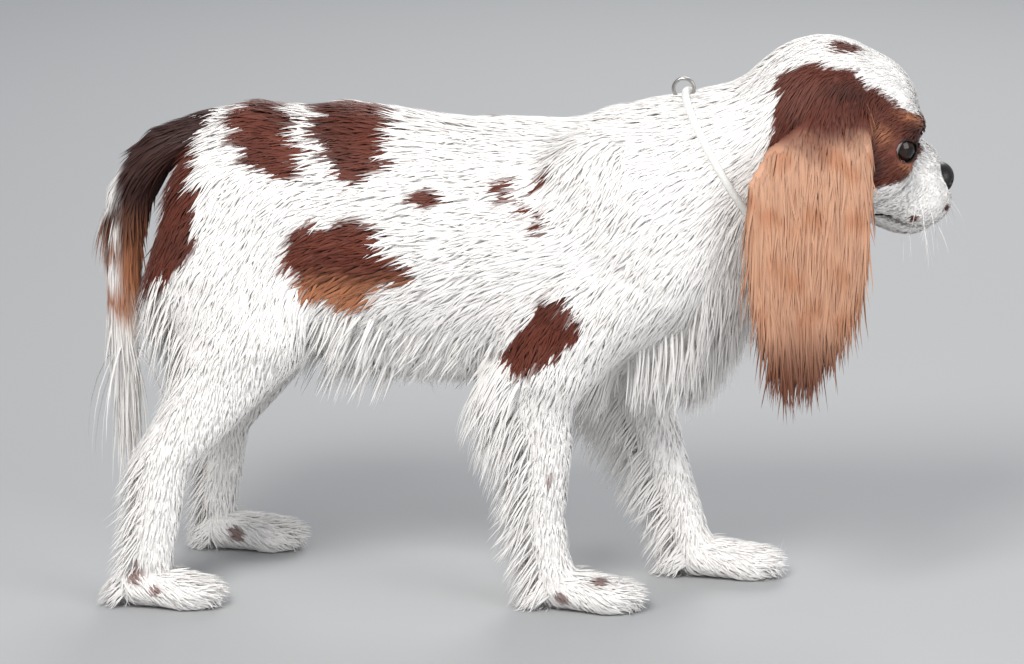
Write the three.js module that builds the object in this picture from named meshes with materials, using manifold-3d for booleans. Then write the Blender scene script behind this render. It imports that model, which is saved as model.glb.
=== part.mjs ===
// A Cavalier King Charles spaniel, standing still, at life size, in millimetres.
// +X runs towards the nose, +Y to the dog's left and +Z up. The paws stand on Z = 0.
// The flesh is one smooth field, meshed node by node and parted by thin flat cuts; the long coat is
// tapered locks whose roots are sunk in the node that they grow from.
import * as THREE from "three";
import { mergeVertices } from "three/addons/utils/BufferGeometryUtils.js";
import Module from "manifold-3d";

const wasm = await Module();
wasm.setup();

// Driving dimensions
const WITHERS = 316; // top of the coat over the shoulders
const CHEST_DEPTH = 170; // withers to brisket, coat included
const CHEST_HALF_WIDTH = 68;
const BODY_LENGTH = 260; // hip station to chest station of the trunk
const HIP_X = -160; // the trunk's rear station
const CHEST_X = HIP_X + BODY_LENGTH;
const FORE_STANCE = 40; // half the distance between the fore paws
const HIND_STANCE = 62; // half the distance between the hind paws
const HEAD_PITCH = 18; // degrees, nose down
const HEAD_YAW = 12; // degrees, turned to the dog's left
const HEAD_AT = [241, 8, 303]; // midway between the eyes
const EYE_RADIUS = 10.5;
const EYE_AT = [0, 23.5, 0]; // in the head's frame, as the next two are
const NOSE_AT = [37.5, 0, -15];
const NOSE_RADII = [9.5, 11, 10.5];
const LID = 2; // thickness of the eyelids
const MOUTH_LINE = 1.2; // width of the groove between the lips
const COLLAR_RADIUS = 2.5;
const COLLAR_SUNK = 1.5; // depth of the cord's middle below the coat
const RING_RADIUS = 6.5;
const RING_TUBE = 1.2;
const GAP = 0.3; // clearance that two nodes keep
const HAIR_GAP = GAP + 0.05; // clearance that locks keep from the next node's flesh
const SHORTEST = 0.12; // edges below this are closed up

const BRISKET = WITHERS - CHEST_DEPTH;
const TRUNK_MID = (WITHERS + BRISKET) / 2;
const SIDES = { right: -1, left: 1 };

// Vectors as plain arrays
const add = (a, b) => a.map((v, i) => v + b[i]);
const sub = (a, b) => a.map((v, i) => v - b[i]);
const scale = (a, k) => a.map((v) => v * k);
const dot = (a, b) => a[0] * b[0] + a[1] * b[1] + a[2] * b[2];
const cross = (a, b) => [a[1] * b[2] - a[2] * b[1], a[2] * b[0] - a[0] * b[2], a[0] * b[1] - a[1] * b[0]];
const unit = (a) => scale(a, 1 / Math.hypot(...a));
const mix = (a, b, t) => (Array.isArray(a) ? a.map((v, i) => v + (b[i] - v) * t) : a + (b - a) * t);
const clamp = (v, low, high) => Math.min(high, Math.max(low, v));
const radians = THREE.MathUtils.degToRad;

// The head's own frame: x to the nose, y to its left, z to its crown
const [cosYaw, sinYaw] = [Math.cos(radians(HEAD_YAW)), Math.sin(radians(HEAD_YAW))];
const [cosPitch, sinPitch] = [Math.cos(radians(HEAD_PITCH)), Math.sin(radians(HEAD_PITCH))];
const HEAD_AXES = [
  [cosYaw * cosPitch, sinYaw * cosPitch, -sinPitch],
  [-sinYaw, cosYaw, 0],
  [cosYaw * sinPitch, sinYaw * sinPitch, cosPitch],
];
const onHead = (p) => HEAD_AXES.reduce((sum, axis, i) => add(sum, scale(axis, p[i])), HEAD_AT);

// Fields: below 0 inside a form, above 0 outside it, about a millimetre for a millimetre
// A ball is an ellipsoid along the three given axes.
function ball(centre, radii, axes = [[1, 0, 0], [0, 1, 0], [0, 0, 1]]) {
  const least = Math.min(...radii);
  const [a, b, c] = axes.map((axis, i) => scale(axis, 1 / radii[i]));
  return (p) => {
    const [x, y, z] = [p[0] - centre[0], p[1] - centre[1], p[2] - centre[2]];
    const u = x * a[0] + y * a[1] + z * a[2];
    const v = x * b[0] + y * b[1] + z * b[2];
    const w = x * c[0] + y * c[1] + z * c[2];
    return (Math.sqrt(u * u + v * v + w * w) - 1) * least;
  };
}

// A limb runs through stations [x, y, z, depth, width]: radii seen from the side and from the front.
// A point farther off than FAR is given its distance to the ball around the limb.
const FAR = 60;
function limb(stations) {
  const spans = stations.slice(1).map((b, i) => {
    const a = stations[i];
    const along = unit(sub(b.slice(0, 3), a.slice(0, 3)));
    const across = unit(sub([0, 1, 0], scale(along, along[1])));
    return { a, b, along, across, over: cross(along, across), run: Math.hypot(...sub(b, a).slice(0, 3)) };
  });
  const middle = scale(stations.reduce((sum, s) => add(sum, s.slice(0, 3)), [0, 0, 0]), 1 / stations.length);
  const reach = Math.max(
    ...stations.map((s) => Math.hypot(...sub(s.slice(0, 3), middle)) + Math.max(s[3], s[4])),
  );
  return (p) => {
    const off = Math.hypot(p[0] - middle[0], p[1] - middle[1], p[2] - middle[2]) - reach;
    if (off > FAR) return off;
    let nearest = Infinity;
    for (const { a, b, along, across, over, run } of spans) {
      let [x, y, z] = [p[0] - a[0], p[1] - a[1], p[2] - a[2]];
      const t = clamp((x * along[0] + y * along[1] + z * along[2]) / run, 0, 1);
      x -= along[0] * t * run;
      y -= along[1] * t * run;
      z -= along[2] * t * run;
      const depth = a[3] + (b[3] - a[3]) * t;
      const width = a[4] + (b[4] - a[4]) * t;
      const end = Math.min(depth, width);
      const u = (x * across[0] + y * across[1] + z * across[2]) / width;
      const v = (x * over[0] + y * over[1] + z * over[2]) / depth;
      const w = (x * along[0] + y * along[1] + z * along[2]) / end;
      nearest = Math.min(nearest, (Math.sqrt(u * u + v * v + w * w) - 1) * end);
    }
    return nearest;
  };
}

// Two fields joined with a fillet about k wide
function blend(a, b, k) {
  const h = clamp(0.5 + (0.5 * (b - a)) / k, 0, 1);
  return b + (a - b) * h - k * h * (1 - h);
}

// Trunk: stations from the rump to the chest
const TRUNK = limb([
  [HIP_X - 8, 0, 262, 62, 50],
  [-112, 0, 243, 81, 58],
  [-40, 0, TRUNK_MID, 84, CHEST_HALF_WIDTH - 2],
  [35, 0, TRUNK_MID - 1, CHEST_DEPTH / 2, CHEST_HALF_WIDTH],
  [CHEST_X - 4, 0, 238, 82, 58],
]);
const NECK = limb([
  [112, 0, 262, 60, 56],
  [150, 2, 291, 51, 50],
  [185, 5, 311, 45, 44],
]);

// Legs, [x, out, z, depth, width], out from the middle plane. Each hind and each fore stands its own way.
const LEGS = {
  hindleg_right: {
    side: -1,
    upper: [[-166, 32, 262, 50, 32], [-179, 42, 215, 51, 29], [-164, 49, 178, 42, 23]],
    lower: [[-158, 49, 176, 32, 22], [-218, HIND_STANCE, 100, 19, 15], [-228, HIND_STANCE, 34, 17, 15]],
    paw: [[-240, HIND_STANCE, 14, 15, 17], [-208, HIND_STANCE, 10, 14, 21]],
  },
  hindleg_left: {
    side: 1,
    upper: [[-162, 32, 262, 50, 32], [-170, 42, 215, 50, 29], [-146, 49, 178, 40, 23]],
    lower: [[-146, 49, 174, 32, 22], [-198, HIND_STANCE, 92, 18, 14], [-205, HIND_STANCE, 34, 15, 14]],
    paw: [[-205, HIND_STANCE, 14, 15, 17], [-174, HIND_STANCE + 2, 10, 14, 21]],
  },
  foreleg_right: {
    side: -1,
    upper: [[55, 40, 290, 30, 25], [98, 44, 224, 30, 25], [24, 48, 172, 30, 19]],
    lower: [
      [18, 46, 158, 27, 18], [26, 43, 108, 19, 16],
      [24, FORE_STANCE, 60, 16, 15], [30, FORE_STANCE, 26, 15, 15],
    ],
    paw: [[32, FORE_STANCE, 14, 15, 17], [62, FORE_STANCE + 2, 10, 14, 21]],
  },
  foreleg_left: {
    side: 1,
    upper: [[65, 40, 290, 30, 25], [112, 42, 222, 30, 25], [64, 44, 172, 30, 19]],
    lower: [[62, 42, 160, 27, 18], [88, 38, 104, 19, 16], [104, 36, 56, 16, 15], [114, 36, 26, 15, 15]],
    paw: [[116, 36, 14, 15, 17], [150, 37, 10, 14, 21]],
  },
};
const sided = (stations, side) => stations.map(([x, out, ...rest]) => [x, out * side, ...rest]);
const LIMBS = Object.values(LEGS).map(({ side, upper, lower, paw }) => ({
  upper: limb(sided(upper, side)),
  lower: limb(sided(lower, side)),
  paw: limb(sided(paw, side)),
}));

// Head: domed skull, brows, cheeks, a short deep muzzle with full lips, and the lower jaw
const headBall = (centre, radii) => ball(onHead(centre), radii, HEAD_AXES);
const pair = ([x, y, z], radii) => [-1, 1].map((side) => headBall([x, y * side, z], radii));
const SKULL = [
  headBall([-47, 0, 9], [50, 42, 46]),
  headBall([-20, 0, 15], [31, 33, 33]),
  ...pair([-16, 27, -14], [30, 17, 28]),
  ...pair([0, 17, 15], [13, 13, 10]),
];
const MUZZLE = [
  headBall([17, 0, -15], [28, 16, 21]),
  ...pair([25, 10.5, -29], [22.5, 13, 19]),
  headBall([-14, 0, -33], [34, 25, 22]),
];
const JAW = [headBall([20, 0, -42], [23, 14.5, 14.5]), headBall([-10, 0, -37], [32, 18, 17])];
const HEAD_FILLET = 9;
const HEAD_REACH = 110;
const joinAll = (fields, p, k) => fields.reduce((sum, field) => blend(sum, field(p), k), 1e3);

// The tail drops behind the thighs. Only its root is one with the rump.
const TAIL_STATIONS = [
  [-190, 0, 300, 17, 17],
  [-226, -1, 288, 15, 15],
  [-249, -3, 256, 14, 14],
  [-253, -5, 212, 12, 12],
  [-252, -6, 168, 9, 9],
];
const TAIL = limb(TAIL_STATIONS);
const TAIL_ROOT = limb(TAIL_STATIONS.slice(0, 2));

// Dense hair close to the body, which the locks grow out of
const DENSE = {
  chest: limb([[112, 0, 226, 44, 46], [108, 0, 184, 34, 38]]),
  belly: limb([[-112, 0, 164, 10, 26], [60, 0, 156, 12, 32]]),
};

// The whole flesh, coat included where it lies flat
function flesh(p) {
  let f = blend(TRUNK(p), NECK(p), 34);
  f = blend(f, TAIL_ROOT(p), 14);
  f = blend(f, DENSE.chest(p), 20);
  f = blend(f, DENSE.belly(p), 14);
  for (const { upper, lower, paw } of LIMBS) {
    f = blend(f, upper(p), 16);
    f = blend(f, blend(lower(p), paw(p), 10), 14);
  }
  const off = Math.hypot(p[0] - HEAD_AT[0], p[1] - HEAD_AT[1], p[2] - HEAD_AT[2]) - HEAD_REACH;
  if (off > FAR) return f;
  const head = blend(joinAll(SKULL, p, HEAD_FILLET), joinAll(MUZZLE, p, HEAD_FILLET), HEAD_FILLET);
  return blend(f, head, 22);
}

// Solids
const solidOf = (geometry) => {
  const bare = geometry.index ? geometry.toNonIndexed() : geometry;
  const only = new THREE.BufferGeometry().setAttribute("position", bare.getAttribute("position"));
  const merged = mergeVertices(only, 1e-4);
  const mesh = new wasm.Mesh({
    numProp: 3,
    vertProperties: merged.attributes.position.array,
    triVerts: new Uint32Array(merged.index.array),
  });
  return new wasm.Manifold(mesh);
};
const geometryFrom = (points, triangles) =>
  new THREE.BufferGeometry()
    .setAttribute("position", new THREE.Float32BufferAttribute(points.flat(), 3))
    .setIndex(triangles.flat());

// Each quad is cut along its shorter diagonal, or along the other where that one is an edge already.
function halved(quads, points) {
  const key = (a, b) => `${Math.min(a, b)} ${Math.max(a, b)}`;
  const long = (a, b) => Math.hypot(...sub(points[a], points[b]));
  const used = new Set(quads.flatMap(([a, b, c, d]) => [key(a, b), key(b, c), key(c, d), key(d, a)]));
  return quads.flatMap(([a, b, c, d]) => {
    const first = used.has(key(a, c)) ? false : used.has(key(b, d)) || long(a, c) <= long(b, d);
    used.add(first ? key(a, c) : key(b, d));
    return first ? [[a, b, c], [a, c, d]] : [[b, c, d], [b, d, a]];
  });
}

// A grid face whose two diagonals lie on different sides would pinch the surface to a line there, so one
// of its outer corners is brought just inside.
function fillPinches(values, size, index) {
  const faces = [[[1, 0, 0], [0, 1, 0]], [[0, 1, 0], [0, 0, 1]], [[0, 0, 1], [1, 0, 0]]];
  for (let found = true; found; ) {
    found = false;
    for (let i = 0; i < size[0] - 2; i++)
      for (let j = 0; j < size[1] - 2; j++)
        for (let k = 0; k < size[2] - 2; k++)
          for (const [a, b] of faces) {
            const ring = [[i, j, k], add([i, j, k], a), add(add([i, j, k], a), b), add([i, j, k], b)];
            const at = ring.map((corner) => index(...corner));
            const [p, q, r, s] = at.map((n) => values[n] < 0);
            if (p !== r || q !== s || p === q) continue;
            values[p ? at[1] : at[0]] = -0.01;
            found = true;
          }
  }
}

// Surface nets: one vertex in each cell that the surface crosses, one quad across each crossed grid edge,
// and then every vertex is slid down the field's slope onto the surface itself.
function meshField(field, low, high, cell, level = 0) {
  const size = low.map((v, i) => Math.ceil((high[i] - v) / cell) + 1);
  const index = (i, j, k) => (i * size[1] + j) * size[2] + k;
  const at = (i, j, k) => [low[0] + i * cell, low[1] + j * cell, low[2] + k * cell];
  const f = (p) => field(p) - level;
  const values = new Float64Array(size[0] * size[1] * size[2]);
  for (let i = 0; i < size[0]; i++)
    for (let j = 0; j < size[1]; j++)
      for (let k = 0; k < size[2]; k++) {
        const edge = [i, j, k].some((v, axis) => v === 0 || v === size[axis] - 1);
        values[index(i, j, k)] = edge ? Math.max(f(at(i, j, k)), 0.5 * cell) : f(at(i, j, k));
      }
  fillPinches(values, size, index);
  const corners = [0, 1, 2, 3, 4, 5, 6, 7].map((c) => [c & 1, (c >> 1) & 1, (c >> 2) & 1]);
  const pairs = [];
  corners.forEach((a, m) => [1, 2, 4].forEach((bit) => m & bit || pairs.push([m, m | bit])));
  const names = new Map();
  const points = [];
  for (let i = 0; i < size[0] - 1; i++)
    for (let j = 0; j < size[1] - 1; j++)
      for (let k = 0; k < size[2] - 1; k++) {
        const v = corners.map(([a, b, c]) => values[index(i + a, j + b, k + c)]);
        const crossed = pairs.filter(([a, b]) => v[a] < 0 !== v[b] < 0);
        if (!crossed.length) continue;
        let sum = [0, 0, 0];
        for (const [a, b] of crossed) sum = add(sum, mix(corners[a], corners[b], v[a] / (v[a] - v[b])));
        names.set(index(i, j, k), points.length);
        points.push(add(at(i, j, k), scale(sum, cell / crossed.length)));
      }
  const slope = (p) =>
    [0, 1, 2].map((axis) => {
      const step = [0, 0, 0];
      step[axis] = 0.5;
      return f(add(p, step)) - f(sub(p, step));
    });
  for (const [n, start] of points.entries()) {
    let p = start;
    for (let step = 0; step < 4; step++) {
      const g = slope(p);
      const slid = sub(p, scale(g, f(p) / Math.max(dot(g, g), 0.2)));
      p = slid.map((v, axis) => clamp(v, start[axis] - 0.45 * cell, start[axis] + 0.45 * cell));
    }
    points[n] = start.some((v, axis) => v - low[axis] < cell || high[axis] - v < cell) ? start : p;
  }
  const quads = [];
  const around = [
    [[0, -1, -1], [0, 0, -1], [0, 0, 0], [0, -1, 0]],
    [[-1, 0, -1], [-1, 0, 0], [0, 0, 0], [0, 0, -1]],
    [[-1, -1, 0], [0, -1, 0], [0, 0, 0], [-1, 0, 0]],
  ];
  for (let i = 0; i < size[0] - 1; i++)
    for (let j = 0; j < size[1] - 1; j++)
      for (let k = 0; k < size[2] - 1; k++)
        for (let axis = 0; axis < 3; axis++) {
          if ([i, j, k].some((v, m) => v === 0 && m !== axis)) continue;
          const next = [i, j, k].map((v, m) => v + (m === axis));
          const here = values[index(i, j, k)] < 0;
          if (here === values[index(...next)] < 0) continue;
          const ring = around[axis].map(([a, b, c]) => names.get(index(i + a, j + b, k + c)));
          quads.push(here ? ring : ring.reverse());
        }
  return solidOf(geometryFrom(points, halved(quads, points)));
}

// A half space as a big box: the side of the plane through point that normal points away from
const REACH = 1500;
function halfSpace([point, normal], grow = 0) {
  const box = new THREE.BoxGeometry(REACH, REACH, REACH);
  box.translate(0, 0, -REACH / 2 + grow);
  const turn = new THREE.Quaternion().setFromUnitVectors(
    new THREE.Vector3(0, 0, 1),
    new THREE.Vector3(...unit(normal)),
  );
  box.applyQuaternion(turn).translate(...point);
  return solidOf(box);
}
const territory = (planes, grow = 0) =>
  planes.map((plane) => halfSpace(plane, grow)).reduce((all, one) => all.intersect(one));
const flip = ([point, normal]) => [point, scale(normal, -1)];

// Cuts between nodes, each a plane [point, normal]
const FLOOR = [[0, 0, -GAP / 2], [0, 0, -1]]; // paws end flat on it
const HEAD_CUT = [[176, 0, 327], [-0.942, 0, -0.334]]; // the head lies on the side it points away from
const NECK_CUT = [[137, 0, 270], [-0.846, 0, -0.533]];
const TAIL_CUT = [[-206, 0, 296], [0.95, 0, 0.312]];
const COLLAR_PLANE = [[146, 1, 276], [0.846, 0, 0.533]];
const WRIST = 36;
const hindCuts = (side) => [
  [[0, 24 * side, 0], [0, -side, 0]],
  [[-140, 0, 262], [0.937, 0, 0.35]],
  [[-140, 0, 262], [0.447, 0, 0.894]],
];
const foreCuts = (side, elbowX) => [
  [[0, 18 * side, 0], [0, -side, 0]],
  [[elbowX, 45 * side, 163], [0, -0.8 * side, 1]],
  [[elbowX - 62, 0, 150], [-1, 0, 0.45]],
  [[elbowX + 60, 0, 150], [1, 0, 0.35]],
];
const LEG_CUTS = {
  hindleg_right: hindCuts(-1),
  hindleg_left: hindCuts(1),
  foreleg_right: foreCuts(-1, 14),
  foreleg_left: foreCuts(1, 68),
};
const below = (z) => [[0, 0, z], [0, 0, 1]];
const above = (z) => [[0, 0, z], [0, 0, -1]];

// Slivers that a cut leaves are closed up: the ends of an edge shorter than SHORTEST become one point
// wherever they share just two neighbours, so that the surface stays closed.
function withoutSlivers(solid) {
  const { vertProperties, triVerts } = solid.getMesh();
  const points = [];
  for (let i = 0; i < vertProperties.length; i += 3) points.push([...vertProperties.subarray(i, i + 3)]);
  const triangles = [];
  for (let i = 0; i < triVerts.length; i += 3) triangles.push([...triVerts.subarray(i, i + 3)]);
  const fans = points.map(() => new Set());
  triangles.forEach((triangle, t) => triangle.forEach((v) => fans[v].add(t)));
  const near = (v) => new Set([...fans[v]].flatMap((t) => triangles[t]).filter((w) => w !== v));
  for (let t = 0; t < triangles.length; t++)
    for (let corner = 0; triangles[t] && corner < 3; corner++) {
      const a = triangles[t][corner];
      const b = triangles[t][(corner + 1) % 3];
      if (Math.hypot(...sub(points[a], points[b])) > SHORTEST) continue;
      const others = near(b);
      const shared = [...near(a)].filter((v) => others.has(v));
      if (shared.length !== 2 || shared.some((v) => fans[v].size < 4)) continue;
      for (const other of fans[b])
        if (triangles[other].includes(a)) {
          triangles[other].forEach((v) => v === b || fans[v].delete(other));
          triangles[other] = null;
        } else {
          triangles[other] = triangles[other].map((v) => (v === b ? a : v));
          fans[a].add(other);
        }
      fans[b].clear();
      corner = -1;
    }
  return solidOf(geometryFrom(points, triangles.filter(Boolean)));
}

function largest(solid) {
  return solid.decompose().reduce((best, one) => (one.volume() > best.volume() ? one : best));
}

// A core is a field in a node's box, cut to the node's territory.
function core(field, low, high, cell, planes) {
  return largest(meshField(field, low, high, cell).intersect(territory(planes, -GAP / 2)));
}

// An ovoid in the head's frame
const headTurn = new THREE.Matrix4().makeBasis(...HEAD_AXES.map((axis) => new THREE.Vector3(...axis)));
function headOvoid(centre, radii, around = 14, down = 9) {
  const shape = new THREE.SphereGeometry(1, around, down).scale(...radii).applyMatrix4(headTurn);
  return solidOf(shape.translate(...onHead(centre)));
}
const mirrored = ([x, y, z], side) => [x, y * side, z];

const nodes = {};

// Head: the lower jaw closes under the lips, which leave a narrow groove as the line of the mouth.
const HEAD_BOX = [[150, -75, 225], [310, 90, 400]];
{
  const jaw = meshField((p) => joinAll(JAW, p, HEAD_FILLET), ...HEAD_BOX, 9);
  const lips = meshField(flesh, ...HEAD_BOX, 9.5, MOUTH_LINE);
  const hinge = headOvoid([-16, 0, -28], [34, 19, 16], 12, 8);
  const skull = meshField(flesh, ...HEAD_BOX, 9.5);
  const whole = skull.add(jaw.subtract(lips)).add(hinge);
  nodes.head = largest(whole.intersect(territory([HEAD_CUT], -GAP / 2)));
}
nodes.neck = core(flesh, [70, -95, 170], [240, 95, 390], 20, [flip(HEAD_CUT), NECK_CUT]);

// Nose: a moist pad let into the front of the muzzle, with two comma-shaped nostrils
{
  nodes.nose = headOvoid(NOSE_AT, NOSE_RADII);
  const socket = headOvoid(NOSE_AT, NOSE_RADII.map((r) => r + GAP));
  const groove = headOvoid([47, 0, -32], [6, 0.9, 9], 10, 8);
  nodes.head = nodes.head.subtract(socket).subtract(groove);
  for (const side of [-1, 1]) {
    const hole = headOvoid(add(NOSE_AT, [9, 5.4 * side, 0]), [6, 2.7, 2.4], 8, 6);
    const slit = headOvoid(add(NOSE_AT, [6.5, 8.6 * side, -2.5]), [6, 3, 1.3], 8, 6);
    nodes.nose = nodes.nose.subtract(hole).subtract(slit);
  }
}

// Eyes: balls in their sockets, with thick lids round an almond opening
for (const [name, side] of Object.entries(SIDES)) {
  const centre = mirrored(EYE_AT, side);
  nodes[`eye_${name}`] = headOvoid(centre, [EYE_RADIUS, EYE_RADIUS, EYE_RADIUS]);
  const grown = (by) => [EYE_RADIUS + by, EYE_RADIUS + by, EYE_RADIUS + by];
  const lids = headOvoid(centre, grown(LID));
  const socket = headOvoid(centre, grown(GAP));
  const opening = headOvoid(add(centre, [4.5, 10.5 * side, 0]), [9, 8.5, 7.2]);
  nodes.head = nodes.head.add(lids).subtract(socket).subtract(opening);
}

for (const [name, { side, lower, paw }] of Object.entries(LEGS)) {
  const hind = name.startsWith("hind");
  const [heel, toes] = paw;
  const rear = (hind ? lower[1][0] : lower[0][0]) - 70;
  const inner = 4;
  const outer = 100;
  const box = (x0, x1, z0, z1) => [
    [x0, side < 0 ? -outer : inner, z0],
    [x1, side < 0 ? -inner : outer, z1],
  ];
  const top = hind ? 320 : 210;
  const planes = [...LEG_CUTS[name], above(WRIST)];
  nodes[name] = core(flesh, ...box(rear, hind ? -80 : rear + 150, 20, top), hind ? 18 : 15, planes);
  nodes[name.replace("leg", "paw")] = core(
    flesh,
    ...box(heel[0] - 60, toes[0] + 45, -20, WRIST + 16),
    11,
    [below(WRIST), FLOOR],
  );
}
{
  const legs = Object.values(LEG_CUTS).map((planes) => territory(planes, GAP / 2));
  const whole = meshField(flesh, [-250, -100, 110], [190, 100, 345], 25);
  const behind = whole.intersect(territory([flip(NECK_CUT), flip(TAIL_CUT)], -GAP / 2));
  nodes.torso = largest(legs.reduce((rest, leg) => rest.subtract(leg), behind));
  nodes.tail = core(TAIL, [-300, -50, 50], [-175, 45, 340], 11, [TAIL_CUT]);
}

// Ears hang straight down, whatever the head's pitch: [ahead, out, up] of the point between the eyes.
const hung = ([ahead, out, up], side) => [
  HEAD_AT[0] + ahead * cosYaw - out * side * sinYaw,
  HEAD_AT[1] + ahead * sinYaw + out * side * cosYaw,
  HEAD_AT[2] + up,
];
const EAR_STATIONS = [
  [-44, 44, 22, 26, 9],
  [-66, 56, -6, 47, 10],
  [-64, 61, -46, 45, 9],
  [-62, 62, -82, 32, 6],
];
for (const [name, side] of Object.entries(SIDES)) {
  const placed = ([ahead, out, up, ...radii]) => [...hung([ahead, out, up], side), ...radii];
  const leather = EAR_STATIONS.map(placed);
  const middle = leather[1];
  const low = [middle[0] - 80, middle[1] - 45, 180];
  const high = [middle[0] + 90, middle[1] + 45, 350];
  const cup = new THREE.SphereGeometry(1, 10, 6).scale(34, 9, 44).rotateZ(radians(HEAD_YAW));
  const hollow = solidOf(cup.translate(...hung([-64, 49, -34], side)));
  const beside = meshField(flesh, low, high, 12, 2.2);
  nodes[`ear_${name}`] = largest(meshField(limb(leather), low, high, 13).subtract(beside).subtract(hollow));
}

// Collar: a thin round cord that lies in a groove of the coat, with a small ring on top
{
  const [middle, along] = COLLAR_PLANE;
  const way = unit(along);
  const outward = (turn) => {
    const up = [-way[2], 0, way[0]];
    return add(scale([0, 1, 0], Math.cos(turn)), scale(up, Math.sin(turn)));
  };
  const surface = (turn) => {
    let [near, far] = [0, 130];
    while (far - near > 0.05) {
      const half = (near + far) / 2;
      if (flesh(add(middle, scale(outward(turn), half))) < 0) near = half;
      else far = half;
    }
    return near;
  };
  class Loop extends THREE.Curve {
    getPoint(t) {
      const turn = 2 * Math.PI * t;
      return new THREE.Vector3(...add(middle, scale(outward(turn), surface(turn) - COLLAR_SUNK)));
    }
  }
  const cord = (radius) => solidOf(new THREE.TubeGeometry(new Loop(), 28, radius, 6, true));
  const top = surface(Math.PI / 2) - COLLAR_SUNK;
  const hang = (tube) => {
    const shape = new THREE.TorusGeometry(RING_RADIUS, tube, 6, 14);
    const up = top + RING_RADIUS - COLLAR_RADIUS - RING_TUBE - GAP;
    const place = add(middle, scale(outward(Math.PI / 2), up));
    return solidOf(shape.rotateX(Math.PI / 2).rotateY(Math.PI / 2).translate(...place));
  };
  nodes.collar = cord(COLLAR_RADIUS);
  nodes.collar_ring = hang(RING_TUBE);
  nodes.neck = largest(nodes.neck.subtract(cord(COLLAR_RADIUS + GAP)).subtract(hang(RING_TUBE + GAP)));
}

// Long coat. A lock is a flat blade that leaves its root along lie and ends along hang, face up to face.
// Its rings are diamonds whose width and thickness follow these shares of the lock's own.
const RINGS = [
  { at: 0, wide: 0.7, thick: 1 },
  { at: 0.3, wide: 1, thick: 1 },
  { at: 0.6, wide: 0.8, thick: 0.7 },
  { at: 0.85, wide: 0.42, thick: 0.4 },
];
function lock({ root, lie, hang, face, long, wide, thick }, grow = 0) {
  const knee = add(root, scale(unit(lie), long * 0.45));
  const tip = add(knee, scale(unit(hang), long * 0.55 + grow));
  const path = (t) => mix(mix(root, knee, t), mix(knee, tip, t), t);
  const points = RINGS.flatMap((ring) => {
    const along = unit(sub(path(ring.at + 0.05), path(ring.at - 0.05)));
    const across = unit(cross(along, face));
    const up = cross(across, along);
    const half = (wide * ring.wide) / 2 + grow;
    const deep = (thick * ring.thick) / 2 + grow;
    const centre = path(ring.at);
    const corners = [scale(across, half), scale(up, deep), scale(across, -half), scale(up, -deep)];
    return corners.map((d) => add(centre, d));
  });
  const triangles = [[0, 1, 2], [0, 2, 3]];
  for (let ring = 0; ring < RINGS.length; ring++)
    for (let side = 0; side < 4; side++) {
      const a = ring * 4 + side;
      const b = ring * 4 + ((side + 1) % 4);
      if (ring === RINGS.length - 1) triangles.push([b, a, points.length]);
      else triangles.push([b, a, a + 4], [b, a + 4, b + 4]);
    }
  const solid = solidOf(geometryFrom([...points, tip], triangles));
  if (solid.volume() > 0) return solid;
  return solidOf(geometryFrom([...points, tip], triangles.map((t) => t.reverse())));
}

// Seeded variation, so that the coat is the same each time
let seed = 20;
const random = () => {
  seed = (seed * 16807) % 2147483647;
  return seed / 2147483647;
};
const vary = (share) => 1 + (random() * 2 - 1) * share;

// A row of locks along a line of roots; long, lie and hang may change from its first lock to its last.
const grown = [];
function row(node, { count, from, to, lie, hang, face, long, wide = 12, thick = 5 }) {
  const [first, last] = Array.isArray(long) ? long : [long, long];
  for (let n = 0; n < count; n++) {
    const t = count > 1 ? clamp((n + 0.5 * (random() - 0.5)) / (count - 1), 0, 1) : 0.5;
    const swing = [0.12 * (random() - 0.5), 0.2 * (random() - 0.5), 0.12 * (random() - 0.5)];
    grown.push({
      node,
      root: mix(from, to, t),
      lie: add(unit(lie), swing),
      hang: add(unit(hang), scale(swing, 1.6)),
      face: unit(add(unit(face), scale(swing, 1.5))),
      long: mix(first, last, t) * vary(0.14),
      wide: wide * vary(0.18),
      thick: thick * vary(0.1),
    });
  }
}
for (const [name, side] of Object.entries(SIDES)) {
  const ear = (settings) =>
    row(`ear_${name}`, {
      ...settings,
      from: hung(settings.from, side),
      to: hung(settings.to, side),
      lie: sub(hung([0, 0.12, -1], side), HEAD_AT),
      hang: sub(hung([settings.sweep ?? 0, -0.03, -1], side), HEAD_AT),
      face: sub(hung([0, 1, 0.1], side), HEAD_AT),
    });
  ear({
    count: 3, from: [-104, 54, 2], to: [-96, 60, -56],
    long: [96, 84], wide: 30, thick: 9,
  });
  ear({
    count: 3, from: [-28, 56, -22], to: [-36, 60, -62],
    long: [96, 84], wide: 27, thick: 9, sweep: -0.12,
  });
  ear({
    count: 4, from: [-92, 61, -60], to: [-38, 61, -64],
    long: [84, 90], wide: 32, thick: 9, sweep: 0.05,
  });
  ear({
    count: 3, from: [-84, 67, -30], to: [-46, 67, -34],
    long: [88, 96], wide: 34, thick: 8, sweep: 0.04,
  });
}
row("tail", {
  count: 5, from: [-238, -2, 280], to: [-254, -5, 176], lie: [-0.4, 0, -0.9], hang: [0.05, 0, -1],
  face: [-1, 0, 0.3], long: [62, 100], wide: 26, thick: 9,
});
for (const side of [-1, 1])
  row("tail", {
    count: 4, from: [-240, 7 * side - 2, 262], to: [-252, 6 * side - 5, 174], lie: [-0.12, 0.3 * side, -0.95],
    hang: [0.01, 0, -1], face: [0, side, 0.1], long: [64, 118], wide: 27, thick: 9,
  });
row("tail", {
  count: 3, from: [-238, -2, 246], to: [-248, -5, 172], lie: [0.25, 0, -1], hang: [-0.05, 0, -1],
  face: [1, 0, 0], long: [60, 84], wide: 24, thick: 8,
});
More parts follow.
